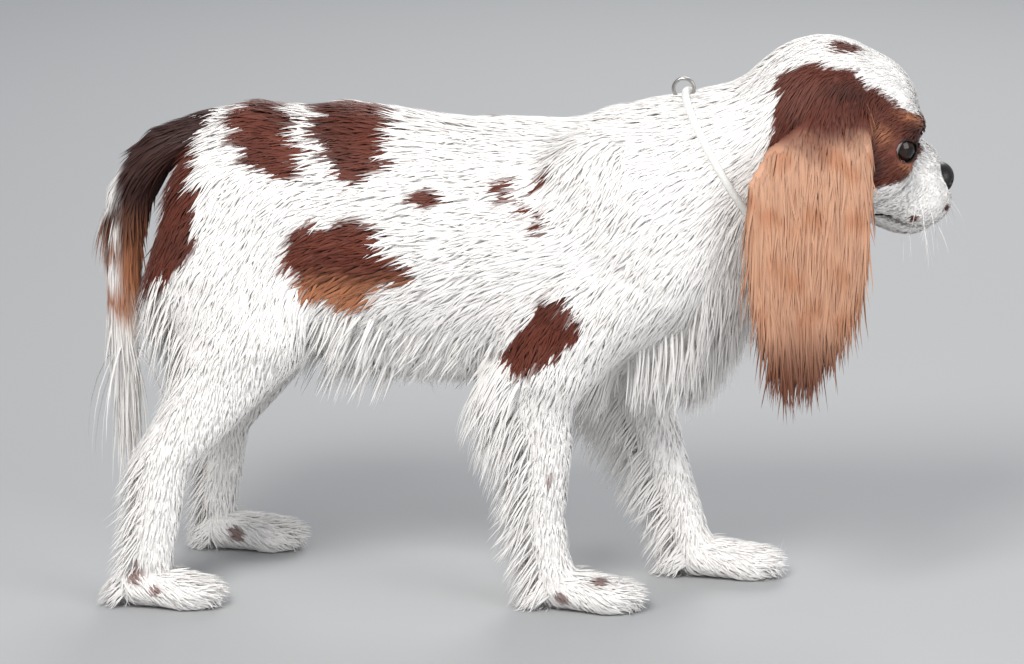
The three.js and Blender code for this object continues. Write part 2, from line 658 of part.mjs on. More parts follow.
for (const side of [-1, 1]) {
  row("torso", {
    count: 6, from: [-116, 14 * side, 172], to: [0, 24 * side, 160], lie: [-0.6, 0.1 * side, -0.6],
    hang: [-0.4, 0.05 * side, -0.9], face: [0, side, -0.4], long: [48, 32], wide: 24, thick: 6,
  });
  row("torso", {
    count: 3, from: [144, 14 * side, 222], to: [124, 16 * side, 178], lie: [0.2, 0.1 * side, -1],
    hang: [-0.3, 0, -1], face: [1, 0.4 * side, 0.2], long: [54, 46], wide: 32, thick: 9,
  });
  row("torso", {
    count: 3, from: [114, 30 * side, 208], to: [84, 20 * side, 164], lie: [0.1, 0.2 * side, -1],
    hang: [-0.35, -0.1 * side, -0.9], face: [0.3, side, 0], long: [50, 34], wide: 30, thick: 8,
  });
}
row("torso", {
  count: 3, from: [146, 0, 214], to: [110, 0, 168], lie: [0.25, 0, -1], hang: [-0.4, 0, -1],
  face: [1, 0, 0.3], long: [54, 38], wide: 30, thick: 9,
});
const FEATHER = { thick: 6, wide: 20 };
for (const [name, { side, upper, lower, paw }] of Object.entries(LEGS)) {
  const hind = name.startsWith("hind");
  const [knee, wrist] = hind ? lower.slice(1) : [lower[0], lower[2]];
  const behind = ([x, out, z, depth], sunk, aside) => [x - depth * sunk, out * side + aside, z];
  for (const aside of [-5, 5])
    row(name, {
      ...FEATHER,
      count: hind ? 3 : 5,
      from: behind(knee, 0.45, aside),
      to: behind([wrist[0], wrist[1], wrist[2] - 4, wrist[3]], 0.4, aside * 0.8),
      lie: [-0.7, aside / 16, -0.75],
      hang: [-0.22, aside / 40, -1],
      face: [-0.25, Math.sign(aside), 0.2],
      long: hind ? [32, 34] : [52, 34],
    });
  if (hind)
    row(name, {
      ...FEATHER,
      count: 4,
      from: [upper[0][0] - 40, (upper[0][1] + 6) * side, 246],
      to: [upper[1][0] - 30, upper[1][1] * side, 168],
      lie: [-0.55, 0, -0.9],
      hang: [-0.05, 0, -1],
      face: [-1, 0, 0.4],
      long: [44, 50],
      wide: 28,
      thick: 8,
    });
  const [heel, toes] = paw;
  const foot = name.replace("leg", "paw");
  const tuft = (from, lie, hang, face, long, wide) =>
    row(foot, { count: 1, from, to: from, lie, hang, face, long, wide, thick: 6 });
  for (const spread of [-1, -0.35, 0.35, 1]) {
    const from = [toes[0] - 8 - 4 * Math.abs(spread), toes[1] * side + 11 * spread, 16];
    tuft(from, [1, 0.3 * spread, 0.25], [1, 0.3 * spread, -0.45], [0.3, 0.5 * spread, 1], 36, 17);
  }
  for (const spread of [-1, 0, 1]) {
    const from = [heel[0] - 2, heel[1] * side + 8 * spread, 27];
    tuft(from, [-0.9, 0.3 * spread, -0.5], [-0.6, 0.2 * spread, -0.8], [-0.6, 0.4 * spread, 0.8], 32, 16);
  }
}

// Each node's locks are cut clear of the other nodes and of the locks grown before them.
function swollen(solid, by) {
  const { vertProperties, triVerts } = solid.getMesh();
  const shape = new THREE.BufferGeometry()
    .setAttribute("position", new THREE.BufferAttribute(vertProperties, 3))
    .setIndex(new THREE.BufferAttribute(triVerts, 1));
  shape.computeVertexNormals();
  const normals = shape.getAttribute("normal").array;
  const moved = vertProperties.map((v, i) => v + normals[i] * by);
  return new wasm.Manifold(new wasm.Mesh({ numProp: 3, vertProperties: moved, triVerts }));
}
const bare = { ...nodes };
const clear = ([name, solid]) => [name, swollen(solid, HAIR_GAP)];
const cores = Object.fromEntries(Object.entries(nodes).map(clear));
const airspace = territory([[[0, 0, 1], [0, 0, -1]]]);
let taken = null;
for (const name of [...new Set(grown.map((one) => one.node))]) {
  const own = grown.filter((one) => one.node === name);
  let hair = wasm.Manifold.union(own.map((one) => lock(one))).intersect(airspace);
  const bounds = hair.boundingBox();
  for (const [other, solid] of Object.entries(cores)) {
    const box = solid.boundingBox();
    const apart = [0, 1, 2].some((i) => box.min[i] > bounds.max[i] || box.max[i] < bounds.min[i]);
    if (other !== name && !apart) hair = hair.subtract(solid).subtract(bare[other]);
  }
  if (taken) hair = hair.subtract(taken);
  nodes[name] = largest(nodes[name].add(hair));
  const reach = wasm.Manifold.union(own.map((one) => lock(one, GAP + 0.05)));
  taken = taken ? taken.add(reach) : reach;
}

const FINISH = {
  coat: { color: 0xf4efe9, roughness: 0.9, metalness: 0 },
  chestnut: { color: 0x7a351c, roughness: 0.85, metalness: 0 },
  nose: { color: 0x1c1614, roughness: 0.35, metalness: 0 },
  eye: { color: 0x1a0d08, roughness: 0.08, metalness: 0 },
  cord: { color: 0xf2f0ec, roughness: 0.7, metalness: 0 },
  steel: { color: 0xb9bbbd, roughness: 0.3, metalness: 1 },
};
const FINISHES = [
  [/^ear/, "chestnut"],
  [/^eye/, "eye"],
  [/^nose/, "nose"],
  [/^collar$/, "cord"],
  [/^collar_ring/, "steel"],
];
const finishOf = (name) => FINISH[FINISHES.find(([pattern]) => pattern.test(name))?.[1] ?? "coat"];

const dog = new THREE.Group();
for (const [name, solid] of Object.entries(nodes)) {
  const { vertProperties, triVerts } = withoutSlivers(solid).getMesh();
  const geometry = new THREE.BufferGeometry()
    .setAttribute("position", new THREE.BufferAttribute(vertProperties, 3))
    .setIndex(new THREE.BufferAttribute(triVerts, 1));
  const mesh = new THREE.Mesh(geometry, new THREE.MeshStandardMaterial(finishOf(name)));
  mesh.name = name;
  dog.add(mesh);
}

// The origin goes to the middle of the dog's box, on the floor.
const extent = new THREE.Box3().setFromObject(dog);
const middle = extent.getCenter(new THREE.Vector3());
dog.position.set(-middle.x, -middle.y, -extent.min.z);

export default dog;
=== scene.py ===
"""A Cavalier King Charles spaniel, standing: skin, coat, eyes, nose and collar, in metres."""
import math
import bpy
import numpy as np
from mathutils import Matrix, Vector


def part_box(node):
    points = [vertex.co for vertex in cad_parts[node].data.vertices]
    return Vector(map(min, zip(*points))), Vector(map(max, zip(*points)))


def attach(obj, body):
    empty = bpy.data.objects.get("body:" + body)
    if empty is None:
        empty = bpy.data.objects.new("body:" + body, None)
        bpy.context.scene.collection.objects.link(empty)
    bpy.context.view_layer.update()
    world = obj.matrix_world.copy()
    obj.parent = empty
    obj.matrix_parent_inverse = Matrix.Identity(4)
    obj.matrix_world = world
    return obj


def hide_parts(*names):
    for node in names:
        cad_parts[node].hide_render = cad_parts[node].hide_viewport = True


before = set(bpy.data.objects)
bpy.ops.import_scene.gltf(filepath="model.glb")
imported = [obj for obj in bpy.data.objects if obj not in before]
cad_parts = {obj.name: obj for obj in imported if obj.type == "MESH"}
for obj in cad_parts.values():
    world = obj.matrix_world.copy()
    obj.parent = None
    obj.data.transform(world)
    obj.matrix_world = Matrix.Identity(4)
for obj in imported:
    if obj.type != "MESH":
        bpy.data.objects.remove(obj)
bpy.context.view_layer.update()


# Place of the dog. The body is worked out in millimetres in the dog's own frame, with the floor at 0 and
# the point midway between the eyes at HEAD_AT, and its right eye says where that frame lies in the model.
MM = 1000  # in a metre
HEAD_AT = np.array([241.0, 8.0, 303.0])
YAW, PITCH = math.radians(12), math.radians(18)
HEAD_AXES = np.array([
    [math.cos(YAW) * math.cos(PITCH), math.sin(YAW) * math.cos(PITCH), -math.sin(PITCH)],
    [-math.sin(YAW), math.cos(YAW), 0.0],
    [math.cos(YAW) * math.sin(PITCH), math.sin(YAW) * math.sin(PITCH), math.cos(PITCH)]])
EYE_AT = (0.0, 23.5, 0.0)


def on_head(point):
    """A point or points of the head's frame (ahead, left, up of the eyes' middle) in the dog's frame."""
    return HEAD_AT + np.asarray(point, float) @ HEAD_AXES


SHIFT = (np.array(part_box("eye_right"), float) * MM).mean(0) - on_head((EYE_AT[0], -EYE_AT[1], EYE_AT[2]))


def to_model(points):
    """Points of the dog's frame in millimetres as metres of the model."""
    return (np.asarray(points, float) + SHIFT) / MM


# Studio: a plain pale floor, soft light from above and from the camera's side, and the photo's view,
# 15 degrees above the dog's right side and a little ahead of it.
def new_finish(name):
    """A new material, its node tree and the surface node in it."""
    material = bpy.data.materials.new(name)
    material.use_nodes = True
    return material, material.node_tree, material.node_tree.nodes["Principled BSDF"]


def fill(tree, node, inputs):
    """Set each input of the node, by name or number, to its value, or link it where that is a socket."""
    for name, value in inputs.items():
        if isinstance(value, bpy.types.NodeSocket):
            tree.links.new(value, node.inputs[name])
        else:
            node.inputs[name].default_value = value


def add_node(tree, kind, inputs=(), **settings):
    """A new node of this kind in the tree, with these settings and inputs."""
    node = tree.nodes.new("ShaderNode" + kind)
    for name, value in settings.items():
        setattr(node, name, value)
    fill(tree, node, dict(inputs))
    return node


FLOOR_HALF = 6  # metres
floor_mesh = bpy.data.meshes.new("floor")
floor_mesh.from_pydata([(-FLOOR_HALF, -FLOOR_HALF, 0), (FLOOR_HALF, -FLOOR_HALF, 0),
                        (FLOOR_HALF, FLOOR_HALF, 0), (-FLOOR_HALF, FLOOR_HALF, 0)], [], [(0, 1, 2, 3)])
floor = bpy.data.objects.new("floor", floor_mesh)
bpy.context.scene.collection.objects.link(floor)
floor_finish, floor_tree, floor_surface = new_finish("floor_finish")
fill(floor_tree, floor_surface, {"Base Color": (0.40, 0.405, 0.41, 1), "Roughness": 0.7})
floor_mesh.materials.append(floor_finish)

world = bpy.data.worlds.new("studio")
world.use_nodes = True
fill(world.node_tree, world.node_tree.nodes["Background"], {"Color": (0.80, 0.84, 0.90, 1), "Strength": 0.55})
bpy.context.scene.world = world


def studio_light(name, place, aim, size, watts, colour):
    """A square area light of this size in metres at place, turned towards aim."""
    data = bpy.data.lights.new(name, "AREA")
    data.size, data.energy, data.color = size, watts, colour
    lamp = bpy.data.objects.new(name, data)
    lamp.location = place
    away = np.array(place, float) - np.array(aim, float)
    tilt, turn = math.acos(away[2] / np.linalg.norm(away)), math.atan2(away[1], away[0]) + math.pi / 2
    lamp.rotation_euler = (tilt, 0, turn)
    bpy.context.scene.collection.objects.link(lamp)


studio_light("key", (-0.5, -1.6, 1.9), (0, 0, 0.18), 0.8, 48, (1.0, 0.98, 0.95))
studio_light("fill", (2.0, -1.2, 1.0), (0, 0, 0.2), 1.4, 26, (0.96, 0.98, 1.0))
studio_light("back", (0.2, 2.0, 1.6), (0, 0, 0.2), 1.2, 24, (1.0, 0.98, 0.96))

CAMERA_AZIMUTH, CAMERA_ELEVATION, CAMERA_DISTANCE = math.radians(6), math.radians(15), 2800.0
CAMERA_TARGET = np.array([0.0, 0.0, 172.0])
PIXELS_PER_MM, PICTURE_WIDE = 1.55, 1024
SENSOR_WIDE, CLIP_END = 36, 50
camera_data = bpy.data.cameras.new("photo_view")
camera_data.sensor_width = SENSOR_WIDE
camera_data.lens = SENSOR_WIDE * PIXELS_PER_MM * CAMERA_DISTANCE / PICTURE_WIDE
camera_data.clip_end = CLIP_END
camera = bpy.data.objects.new("photo_view", camera_data)
camera.location = to_model(CAMERA_TARGET + CAMERA_DISTANCE * np.array([
    math.sin(CAMERA_AZIMUTH) * math.cos(CAMERA_ELEVATION),
    -math.cos(CAMERA_AZIMUTH) * math.cos(CAMERA_ELEVATION),
    math.sin(CAMERA_ELEVATION)]))
camera.rotation_euler = (math.pi / 2 - CAMERA_ELEVATION, 0, CAMERA_AZIMUTH)
bpy.context.scene.collection.objects.link(camera)
bpy.context.scene.camera = camera
bpy.context.scene.view_settings.view_transform = "Standard"


# Skin: the bare dog under its coat, one closed surface over trunk, neck, head, ears, legs, paws and tail.
# It is a blend of tapering limbs and ovoids, thinner than the solids by the depth of the coat there.
def ovoid(centre, radii, axes=np.eye(3)):
    """Field of an ellipsoid: its scaled radius less one, times the least radius."""
    centre, radii = np.asarray(centre, float), np.asarray(radii, float)
    turned = (axes / radii[:, None]).T

    def field(points):
        return (np.linalg.norm((points - centre) @ turned, axis=-1) - 1) * radii.min()
    return field


def limb(stations, inset):
    """Field of a tube through stations (x, y, z, depth, width). Between two of them the radii change
    evenly, and the field is the scaled distance from the line between them less one, times the least."""
    stations = np.array(stations, float)
    stations[:, 3:] -= inset

    def field(points):
        nearest = None
        for a, b in zip(stations[:-1], stations[1:]):
            run = np.linalg.norm(b[:3] - a[:3])
            along = (b[:3] - a[:3]) / run
            across = np.array([0.0, 1.0, 0.0]) - along * along[1]
            across /= np.linalg.norm(across)
            over = np.cross(along, across)
            offset = points - a[:3]
            t = np.clip(offset @ along / run, 0, 1)
            rest = offset - (t * run)[..., None] * along
            depth = a[3] + (b[3] - a[3]) * t
            width = a[4] + (b[4] - a[4]) * t
            end = np.minimum(depth, width)
            value = (np.sqrt((rest @ across / width) ** 2 + (rest @ over / depth) ** 2
                             + (rest @ along / end) ** 2) - 1) * end
            nearest = value if nearest is None else np.minimum(nearest, value)
        return nearest
    return field


def blend(a, b, k):
    """Smooth least of two fields: a fillet about k wide joins them."""
    h = np.clip(0.5 + 0.5 * (b - a) / k, 0, 1)
    return b + (a - b) * h - k * h * (1 - h)


def carve(a, b, k):
    """Field a with the form b taken out of it, its edge rounded by k."""
    return -blend(-a, b, k)


BODY_COAT, LEG_COAT, PAW_COAT = 5.0, 3.5, 2.5
TRUNK = limb([(-168, 0, 262, 62, 50), (-112, 0, 243, 81, 58), (-40, 0, 231, 84, 66),
              (35, 0, 230, 85, 68), (96, 0, 238, 82, 58)], BODY_COAT)
NECK = limb([(112, 0, 262, 60, 56), (150, 2, 291, 51, 50), (185, 5, 311, 45, 44)], BODY_COAT)
CHEST = limb([(112, 0, 226, 44, 46), (108, 0, 184, 34, 38)], BODY_COAT)
BELLY = limb([(-112, 0, 164, 10, 26), (60, 0, 156, 12, 32)], 4)
LEGS = {
    "hind_right": dict(
        side=-1, upper=[(-166, 32, 262, 50, 32), (-179, 42, 215, 51, 29), (-164, 49, 178, 42, 23)],
        lower=[(-158, 49, 176, 32, 22), (-218, 62, 100, 19, 15), (-228, 62, 34, 17, 15)],
        paw=[(-238, 62, 14, 14, 16), (-206, 62, 10, 13, 18)]),
    "hind_left": dict(
        side=1, upper=[(-162, 32, 262, 50, 32), (-170, 42, 215, 50, 29), (-146, 49, 178, 40, 23)],
        lower=[(-146, 49, 174, 32, 22), (-198, 62, 92, 18, 14), (-205, 62, 34, 15, 14)],
        paw=[(-203, 62, 14, 14, 16), (-172, 64, 10, 13, 18)]),
    "fore_right": dict(
        side=-1, upper=[(55, 40, 290, 30, 25), (98, 44, 224, 30, 25), (24, 48, 172, 30, 19)],
        lower=[(18, 46, 158, 27, 18), (26, 43, 108, 19, 16), (24, 40, 60, 16, 15), (30, 40, 26, 15, 15)],
        paw=[(34, 40, 14, 14, 16), (64, 42, 10, 13, 18)]),
    "fore_left": dict(
        side=1, upper=[(65, 40, 290, 30, 25), (112, 42, 222, 30, 25), (64, 44, 172, 30, 19)],
        lower=[(62, 42, 160, 27, 18), (88, 38, 104, 19, 16), (104, 36, 56, 16, 15), (114, 36, 26, 15, 15)],
        paw=[(118, 36, 14, 14, 16), (150, 37, 10, 13, 18)])}
TOE_SPREADS, TOE_RADII = (-1.5, -0.5, 0.5, 1.5), (12, 5.4, 8.6)


def sided(stations, side):
    """Stations whose second number is the distance out from the middle plane, on this side."""
    return [(x, out * side, *rest) for x, out, *rest in stations]


LIMBS = {}
for leg_name, leg in LEGS.items():
    toe = np.array(sided(leg["paw"], leg["side"])[1][:3])
    toes = [ovoid(toe + (8 - 3.5 * abs(spread), 6.2 * spread * 1.05, -0.5), TOE_RADII)
            for spread in TOE_SPREADS]
    LIMBS[leg_name] = dict(
        toes=toes, **{piece: limb(sided(leg[piece], leg["side"]), coat)
                      for piece, coat in (("upper", BODY_COAT), ("lower", LEG_COAT), ("paw", PAW_COAT))})


def head_ovoid(centre, radii):
    """Field of an ellipsoid placed and turned in the head's frame."""
    return ovoid(on_head(centre), radii, HEAD_AXES)


def both(centre, radii):
    """The two ovoids on the left and right of the head's middle plane."""
    return [head_ovoid((centre[0], centre[1] * side, centre[2]), radii) for side in (-1, 1)]


SKULL = [head_ovoid((-47, 0, 9), (47, 39, 43)), head_ovoid((-20, 0, 15), (29, 31, 31)),
         *both((-16, 27, -14), (28, 15, 26)), *both((0, 17, 15), (12, 12, 9))]
MUZZLE = [head_ovoid((15, 0, -14), (22.5, 15, 19)), *both((25, 10.5, -29), (21.5, 12.5, 18)),
          head_ovoid((-14, 0, -33), (32, 23, 20))]
JAW = [head_ovoid((20, 0, -41.5), (22, 14, 14)), head_ovoid((-10, 0, -37), (31, 17, 16))]
TAIL = limb([(-190, 0, 300, 17, 17), (-226, -1, 288, 15, 15), (-249, -3, 256, 14, 14),
             (-253, -5, 212, 12, 12), (-252, -6, 168, 9, 9)], 5)
# An ear's level sections: height over the eyes, middle ahead and out, half length and half thickness
EAR_SECTIONS = np.array([
    (32, -38, 36, 10, 4), (22, -44, 43, 21, 4.5), (6, -56, 51, 33, 4.5), (-14, -62, 56, 39, 4.5),
    (-46, -62, 61, 37, 4.5), (-80, -61, 62, 28, 4), (-98, -60, 62, 12, 2.5)], float)[::-1]


def ear(side):
    """Field of a hanging ear: at each height the scaled radius in a level ellipse less one, times its half
    thickness, cut off at the top and bottom heights."""
    def field(points):
        off = points - HEAD_AT
        ahead = off[..., 0] * math.cos(YAW) + off[..., 1] * math.sin(YAW)
        out = (off[..., 1] * math.cos(YAW) - off[..., 0] * math.sin(YAW)) * side
        up = off[..., 2]
        middle, aside, half, thick = (
            np.interp(up, EAR_SECTIONS[:, 0], EAR_SECTIONS[:, column]) for column in (1, 2, 3, 4))
        value = (np.hypot((ahead - middle) / half, (out - aside) / thick) - 1) * thick
        return np.maximum(value, np.maximum(up - EAR_SECTIONS[-1, 0], EAR_SECTIONS[0, 0] - up))
    return field


EARS = {side: ear(side) for side in (-1, 1)}
EYE_RADIUS = 10.5
EYES = {side: on_head((EYE_AT[0], EYE_AT[1] * side, EYE_AT[2])) for side in (-1, 1)}
NOSE_AT, NOSE_RADII = (37.5, 0, -15), (9.5, 11, 10.5)
FAR, HEAD_FILLET = 1e3, 9
LIP_FILLET, LID_DEPTH, BALL_GAP, PAD_GAP = 1.6, 1.6, 0.2, 0.6


def joined(forms, points):
    """The head's forms blended one after another."""
    value = np.full(points.shape[:-1], FAR)
    for form in forms:
        value = blend(value, form(points), HEAD_FILLET)
    return value


def mouth_line(points):
    """How far points on the skin are from the crease where lips and lower jaw meet."""
    return np.maximum(np.abs(joined(SKULL + MUZZLE, points)), np.abs(joined(JAW, points)))


def head_field(points):
    """Skull and muzzle with brow, cheeks and hanging lips, over a jaw that closes under a creased mouth
    line; round each eye ball are lids with an almond opening, and the nose sits in a hollow of its own."""
    value = joined(SKULL + MUZZLE, points)
    value = blend(value, np.maximum(joined(JAW, points), 1.0 - value), LIP_FILLET)
    value = carve(value, head_ovoid((48.5, 0, -33), (6, 0.9, 9))(points), 1.0)
    for side in (-1, 1):
        ball = np.linalg.norm(points - EYES[side], axis=-1)
        opening = head_ovoid((EYE_AT[0] + 4.5, (EYE_AT[1] + 10) * side, 0), (9.4, 9.0, 7.0))
        value = blend(value, ball - (EYE_RADIUS + LID_DEPTH), 2.5)
        value = carve(value, opening(points), 0.8)
        value = carve(value, ball - (EYE_RADIUS + BALL_GAP), 0.5)
    return carve(value, head_ovoid(NOSE_AT, np.array(NOSE_RADII) - PAD_GAP)(points), 0.8)


HEAD_REACH, HEAD_FAR = 150, 300.0  # farther away than HEAD_REACH the head's field counts as HEAD_FAR


def parts_of(points):
    """Field of each named part at these points, for the whole skin and for telling the parts apart."""
    parts = {"trunk": blend(blend(TRUNK(points), CHEST(points), 20), BELLY(points), 14),
             "neck": NECK(points), "tail": TAIL(points),
             "ear_right": EARS[-1](points), "ear_left": EARS[1](points)}
    for name, fields in LIMBS.items():
        parts[name + "_upper"] = fields["upper"](points)
        parts[name + "_lower"] = fields["lower"](points)
        paw = fields["paw"](points)
        for one in fields["toes"]:
            paw = blend(paw, one(points), 2.5)
        parts[name + "_paw"] = paw
    parts["head"] = np.full(points.shape[:-1], HEAD_FAR)
    near = np.linalg.norm(points - HEAD_AT, axis=-1) < HEAD_REACH
    parts["head"][near] = head_field(points[near])
    return parts


NECK_FILLET, UPPER_FILLET, LOWER_FILLET, PAW_FILLET, TAIL_FILLET, EAR_FILLET = 34, 16, 14, 8, 6, 5
SOLE = 0.6  # the paws' height over the floor


def skin_field(points):
    """The parts blended: wide fillets within the body, narrow ones where ears and tail leave it."""
    parts = parts_of(points)
    value = blend(parts["trunk"], parts["neck"], NECK_FILLET)
    for name in LEGS:
        value = blend(value, parts[name + "_upper"], UPPER_FILLET)
        value = blend(value, blend(parts[name + "_lower"], parts[name + "_paw"], PAW_FILLET), LOWER_FILLET)
    for name, fillet in (("tail", TAIL_FILLET), ("head", UPPER_FILLET), ("ear_right", EAR_FILLET),
                         ("ear_left", EAR_FILLET)):
        value = blend(value, parts[name], fillet)
    return np.maximum(value, SOLE - points[..., 2])


SLOPE_STEP = 0.4


def slope_of(field, points):
    """The field's slope by central differences along the three axes."""
    steps = np.eye(3) * SLOPE_STEP
    return np.stack([field(points + one) - field(points - one) for one in steps], -1) / (2 * SLOPE_STEP)


NET_REACH, NET_BATCH, NET_COARSE, NET_ROUNDS = 16, 400000, 4, 2
NET_SLIDE, NET_STEEP = 0.6, 0.2  # the farthest slide in cells, and the least slope that counts, squared


def surface_net(field, lines):
    """Closed surface where the field is 0 on a grid with these lines along x, y and z. A cell that the
    surface crosses gets one vertex, the mean of its crossed edges' points, slid down the slope onto the
    surface; a grid edge that it crosses gets one quad through the four cells around it. Away from the
    surface, values of every fourth line are enough to tell inside from outside."""
    coarse = [line[::NET_COARSE] if (len(line) - 1) % NET_COARSE == 0
              else np.append(line[::NET_COARSE], line[-1]) for line in lines]
    rough = field(np.stack(np.meshgrid(*coarse, indexing="ij"), -1).reshape(-1, 3))
    rough = rough.reshape([len(line) for line in coarse])
    pick = [np.clip(np.rint(np.interp(line, c, np.arange(len(c)))).astype(int), 0, len(c) - 1)
            for line, c in zip(lines, coarse)]
    values = rough[np.ix_(*pick)].astype(float)
    where = np.argwhere(np.abs(values) < NET_REACH)
    points = np.stack([lines[axis][where[:, axis]] for axis in range(3)], -1)
    for start in range(0, len(points), NET_BATCH):
        part = slice(start, start + NET_BATCH)
        values[tuple(where[part].T)] = field(points[part])
    inside = values < 0
    shape = [len(line) - 1 for line in lines]
    corners = [(a, b, c) for a in (0, 1) for b in (0, 1) for c in (0, 1)]
    count = sum(inside[a:shape[0] + a, b:shape[1] + b, c:shape[2] + c].astype(np.int8) for a, b, c in corners)
    cells = np.argwhere((count > 0) & (count < 8))
    total, weight = np.zeros((len(cells), 3)), np.zeros(len(cells))
    for corner in corners:
        for axis in range(3):
            if corner[axis]:
                continue
            other = tuple(v + (m == axis) for m, v in enumerate(corner))
            a, b = cells + corner, cells + other
            va, vb = values[tuple(a.T)], values[tuple(b.T)]
            crossed = (va < 0) != (vb < 0)
            t = np.where(crossed, va / np.where(crossed, va - vb, 1), 0)
            pa = np.stack([lines[m][a[:, m]] for m in range(3)], -1)
            pb = np.stack([lines[m][b[:, m]] for m in range(3)], -1)
            total += (pa + (pb - pa) * t[:, None]) * crossed[:, None]
            weight += crossed
    points = total / weight[:, None]
    half = NET_SLIDE * np.stack([(lines[m][cells[:, m] + 1] - lines[m][cells[:, m]]) for m in range(3)], -1)
    start_at = points.copy()
    for _ in range(NET_ROUNDS):
        slope = slope_of(field, points)
        steep = np.maximum((slope ** 2).sum(-1), NET_STEEP)
        points = points - slope * (field(points) / steep)[:, None]
        points = np.clip(points, start_at - half, start_at + half)
    number = np.full(shape, -1)
    number[tuple(cells.T)] = np.arange(len(cells))
    quads = []
    for axis in range(3):
        one, two = [m for m in range(3) if m != axis]
        low, high = [slice(None)] * 3, [slice(None)] * 3
        low[axis], high[axis] = slice(0, -1), slice(1, None)
        edges = np.argwhere(inside[tuple(low)] != inside[tuple(high)])
        edges = edges[(edges[:, one] > 0) & (edges[:, two] > 0)
                      & (edges[:, one] < shape[one]) & (edges[:, two] < shape[two])]
        ring = []
        for a, b in ((-1, -1), (0, -1), (0, 0), (-1, 0)):
            cell = edges.copy()
            cell[:, one] += a
            cell[:, two] += b
            ring.append(number[tuple(cell.T)])
        ring = np.stack(ring, -1)
        outward = inside[tuple(edges.T)] ^ (axis == 1)
        quads.append(np.where(outward[:, None], ring, ring[:, ::-1]))
    return points, np.concatenate(quads)


def grid_line(*spans):
    """Grid lines from spans (start, stop, step), each going on where the last one stops."""
    return np.unique(np.concatenate([np.append(np.arange(a, b, step), b) for a, b, step in spans]))


def mesh_object(name, points, faces, material):
    """A smooth mesh of these points, in the dog's millimetres, and faces, with its material."""
    mesh = bpy.data.meshes.new(name)
    mesh.vertices.add(len(points))
    mesh.vertices.foreach_set("co", to_model(points).astype(np.float32).ravel())
    if isinstance(faces, np.ndarray):
        sizes, flat = np.full(len(faces), faces.shape[1]), faces.ravel()
    else:
        sizes, flat = np.array([len(face) for face in faces]), np.concatenate(faces)
    mesh.loops.add(len(flat))
    mesh.loops.foreach_set("vertex_index", flat.astype(np.int32))
    mesh.polygons.add(len(sizes))
    mesh.polygons.foreach_set("loop_start", np.concatenate([[0], np.cumsum(sizes)[:-1]]).astype(np.int32))
    mesh.update(calc_edges=True)
    mesh.polygons.foreach_set("use_smooth", np.full(len(sizes), True))
    mesh.materials.append(material)
    made = bpy.data.objects.new(name, mesh)
    bpy.context.scene.collection.objects.link(made)
    return made


# Grid steps along the body, along the head, across, and up from the back to the crown
BODY_STEP, HEAD_STEP, SIDE_STEP, TOP_STEP = ((3.2, 1.35, 1.9, 1.5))
SKIN_LINES = [grid_line((-290, 194, BODY_STEP), (194, 292, HEAD_STEP)), grid_line((-96, 96, SIDE_STEP)),
              grid_line((-4, 44, 2.2), (44, 236, 3.6), (236, 380, TOP_STEP))]
skin_points, skin_quads = surface_net(skin_field, SKIN_LINES)


# Markings: chestnut patches on a white coat, the same for skin and hair. Each outline is a few corners
# (x, z) in millimetres, seen from the dog's side, and its edge wanders a little as hair does.
TINY = 1e-6


def patch_field(points, corners):
    """Signed distance in the side view from a polygon's edge, negative inside: the least distance to its
    sides, with the sign from counting crossed sides."""
    x, z = points[:, 0], points[:, 2]
    corners = np.asarray(corners, float)
    ahead = np.roll(corners, -1, 0)
    away = np.full(len(points), np.inf)
    inside = np.zeros(len(points), bool)
    for (ax, az), (bx, bz) in zip(corners, ahead):
        t = np.clip(((x - ax) * (bx - ax) + (z - az) * (bz - az)) / ((bx - ax) ** 2 + (bz - az) ** 2), 0, 1)
        away = np.minimum(away, np.hypot(x - ax - t * (bx - ax), z - az - t * (bz - az)))
        level = (az > z) != (bz > z)
        inside ^= level & (x < (bx - ax) * (z - az) / np.where(bz == az, TINY, bz - az) + ax)
    return np.where(inside, -away, away)


def wander(points, size, seed):
    """Smooth noise from -1 to 1: the mean of six sine waves of this size in seeded directions."""
    rng = np.random.default_rng(seed)
    total = np.zeros(len(points))
    for _ in range(6):
        way = rng.normal(size=3)
        way *= rng.uniform(0.6, 1.6) * 2 * math.pi / size / np.linalg.norm(way)
        total += np.sin(points @ way + rng.uniform(0, 6.28))
    return total / 3.2


RIGHT_PATCHES = [
    [(-186, 312), (-166, 325), (-148, 322), (-134, 297), (-133, 283), (-139, 278), (-154, 284), (-170, 295)],
    [(-136, 330), (-84, 330), (-78, 304), (-84, 287), (-98, 272), (-107, 279), (-118, 296), (-129, 312)],
    [(-244, 300), (-208, 306), (-200, 286), (-197, 262), (-196, 240), (-206, 222), (-222, 206), (-244, 196)],
    [(-141, 244), (-120, 252), (-106, 254), (-101, 261), (-84, 252), (-82, 236), (-66, 229), (-60, 219),
     (-82, 214), (-88, 200), (-98, 194), (-112, 200), (-128, 198), (-138, 214)],
    [(29, 222), (39, 202), (51, 190), (37, 175), (16, 161), (-7, 163), (3, 178), (15, 200)]]
RIGHT_SPOTS = [(-51, 272, 9, 6), (-2, 277, 5, 9), (19, 281, 4, 5), (13, 266, 4, 5), (22, 258, 4, 10)]
LEFT_PATCHES = [
    [(-190, 318), (-150, 330), (-118, 326), (-112, 296), (-126, 270), (-152, 264), (-172, 280)],
    [(-60, 330), (-8, 330), (4, 300), (-6, 262), (-30, 244), (-54, 262), (-64, 296)],
    [(-236, 300), (-208, 304), (-204, 270), (-206, 236), (-220, 214), (-236, 208)],
    [(52, 268), (84, 276), (96, 252), (84, 220), (60, 214), (46, 238)]]
LEFT_SPOTS = [(-92, 232, 9, 7), (22, 236, 6, 9), (-130, 226, 7, 5), (30, 286, 8, 6)]
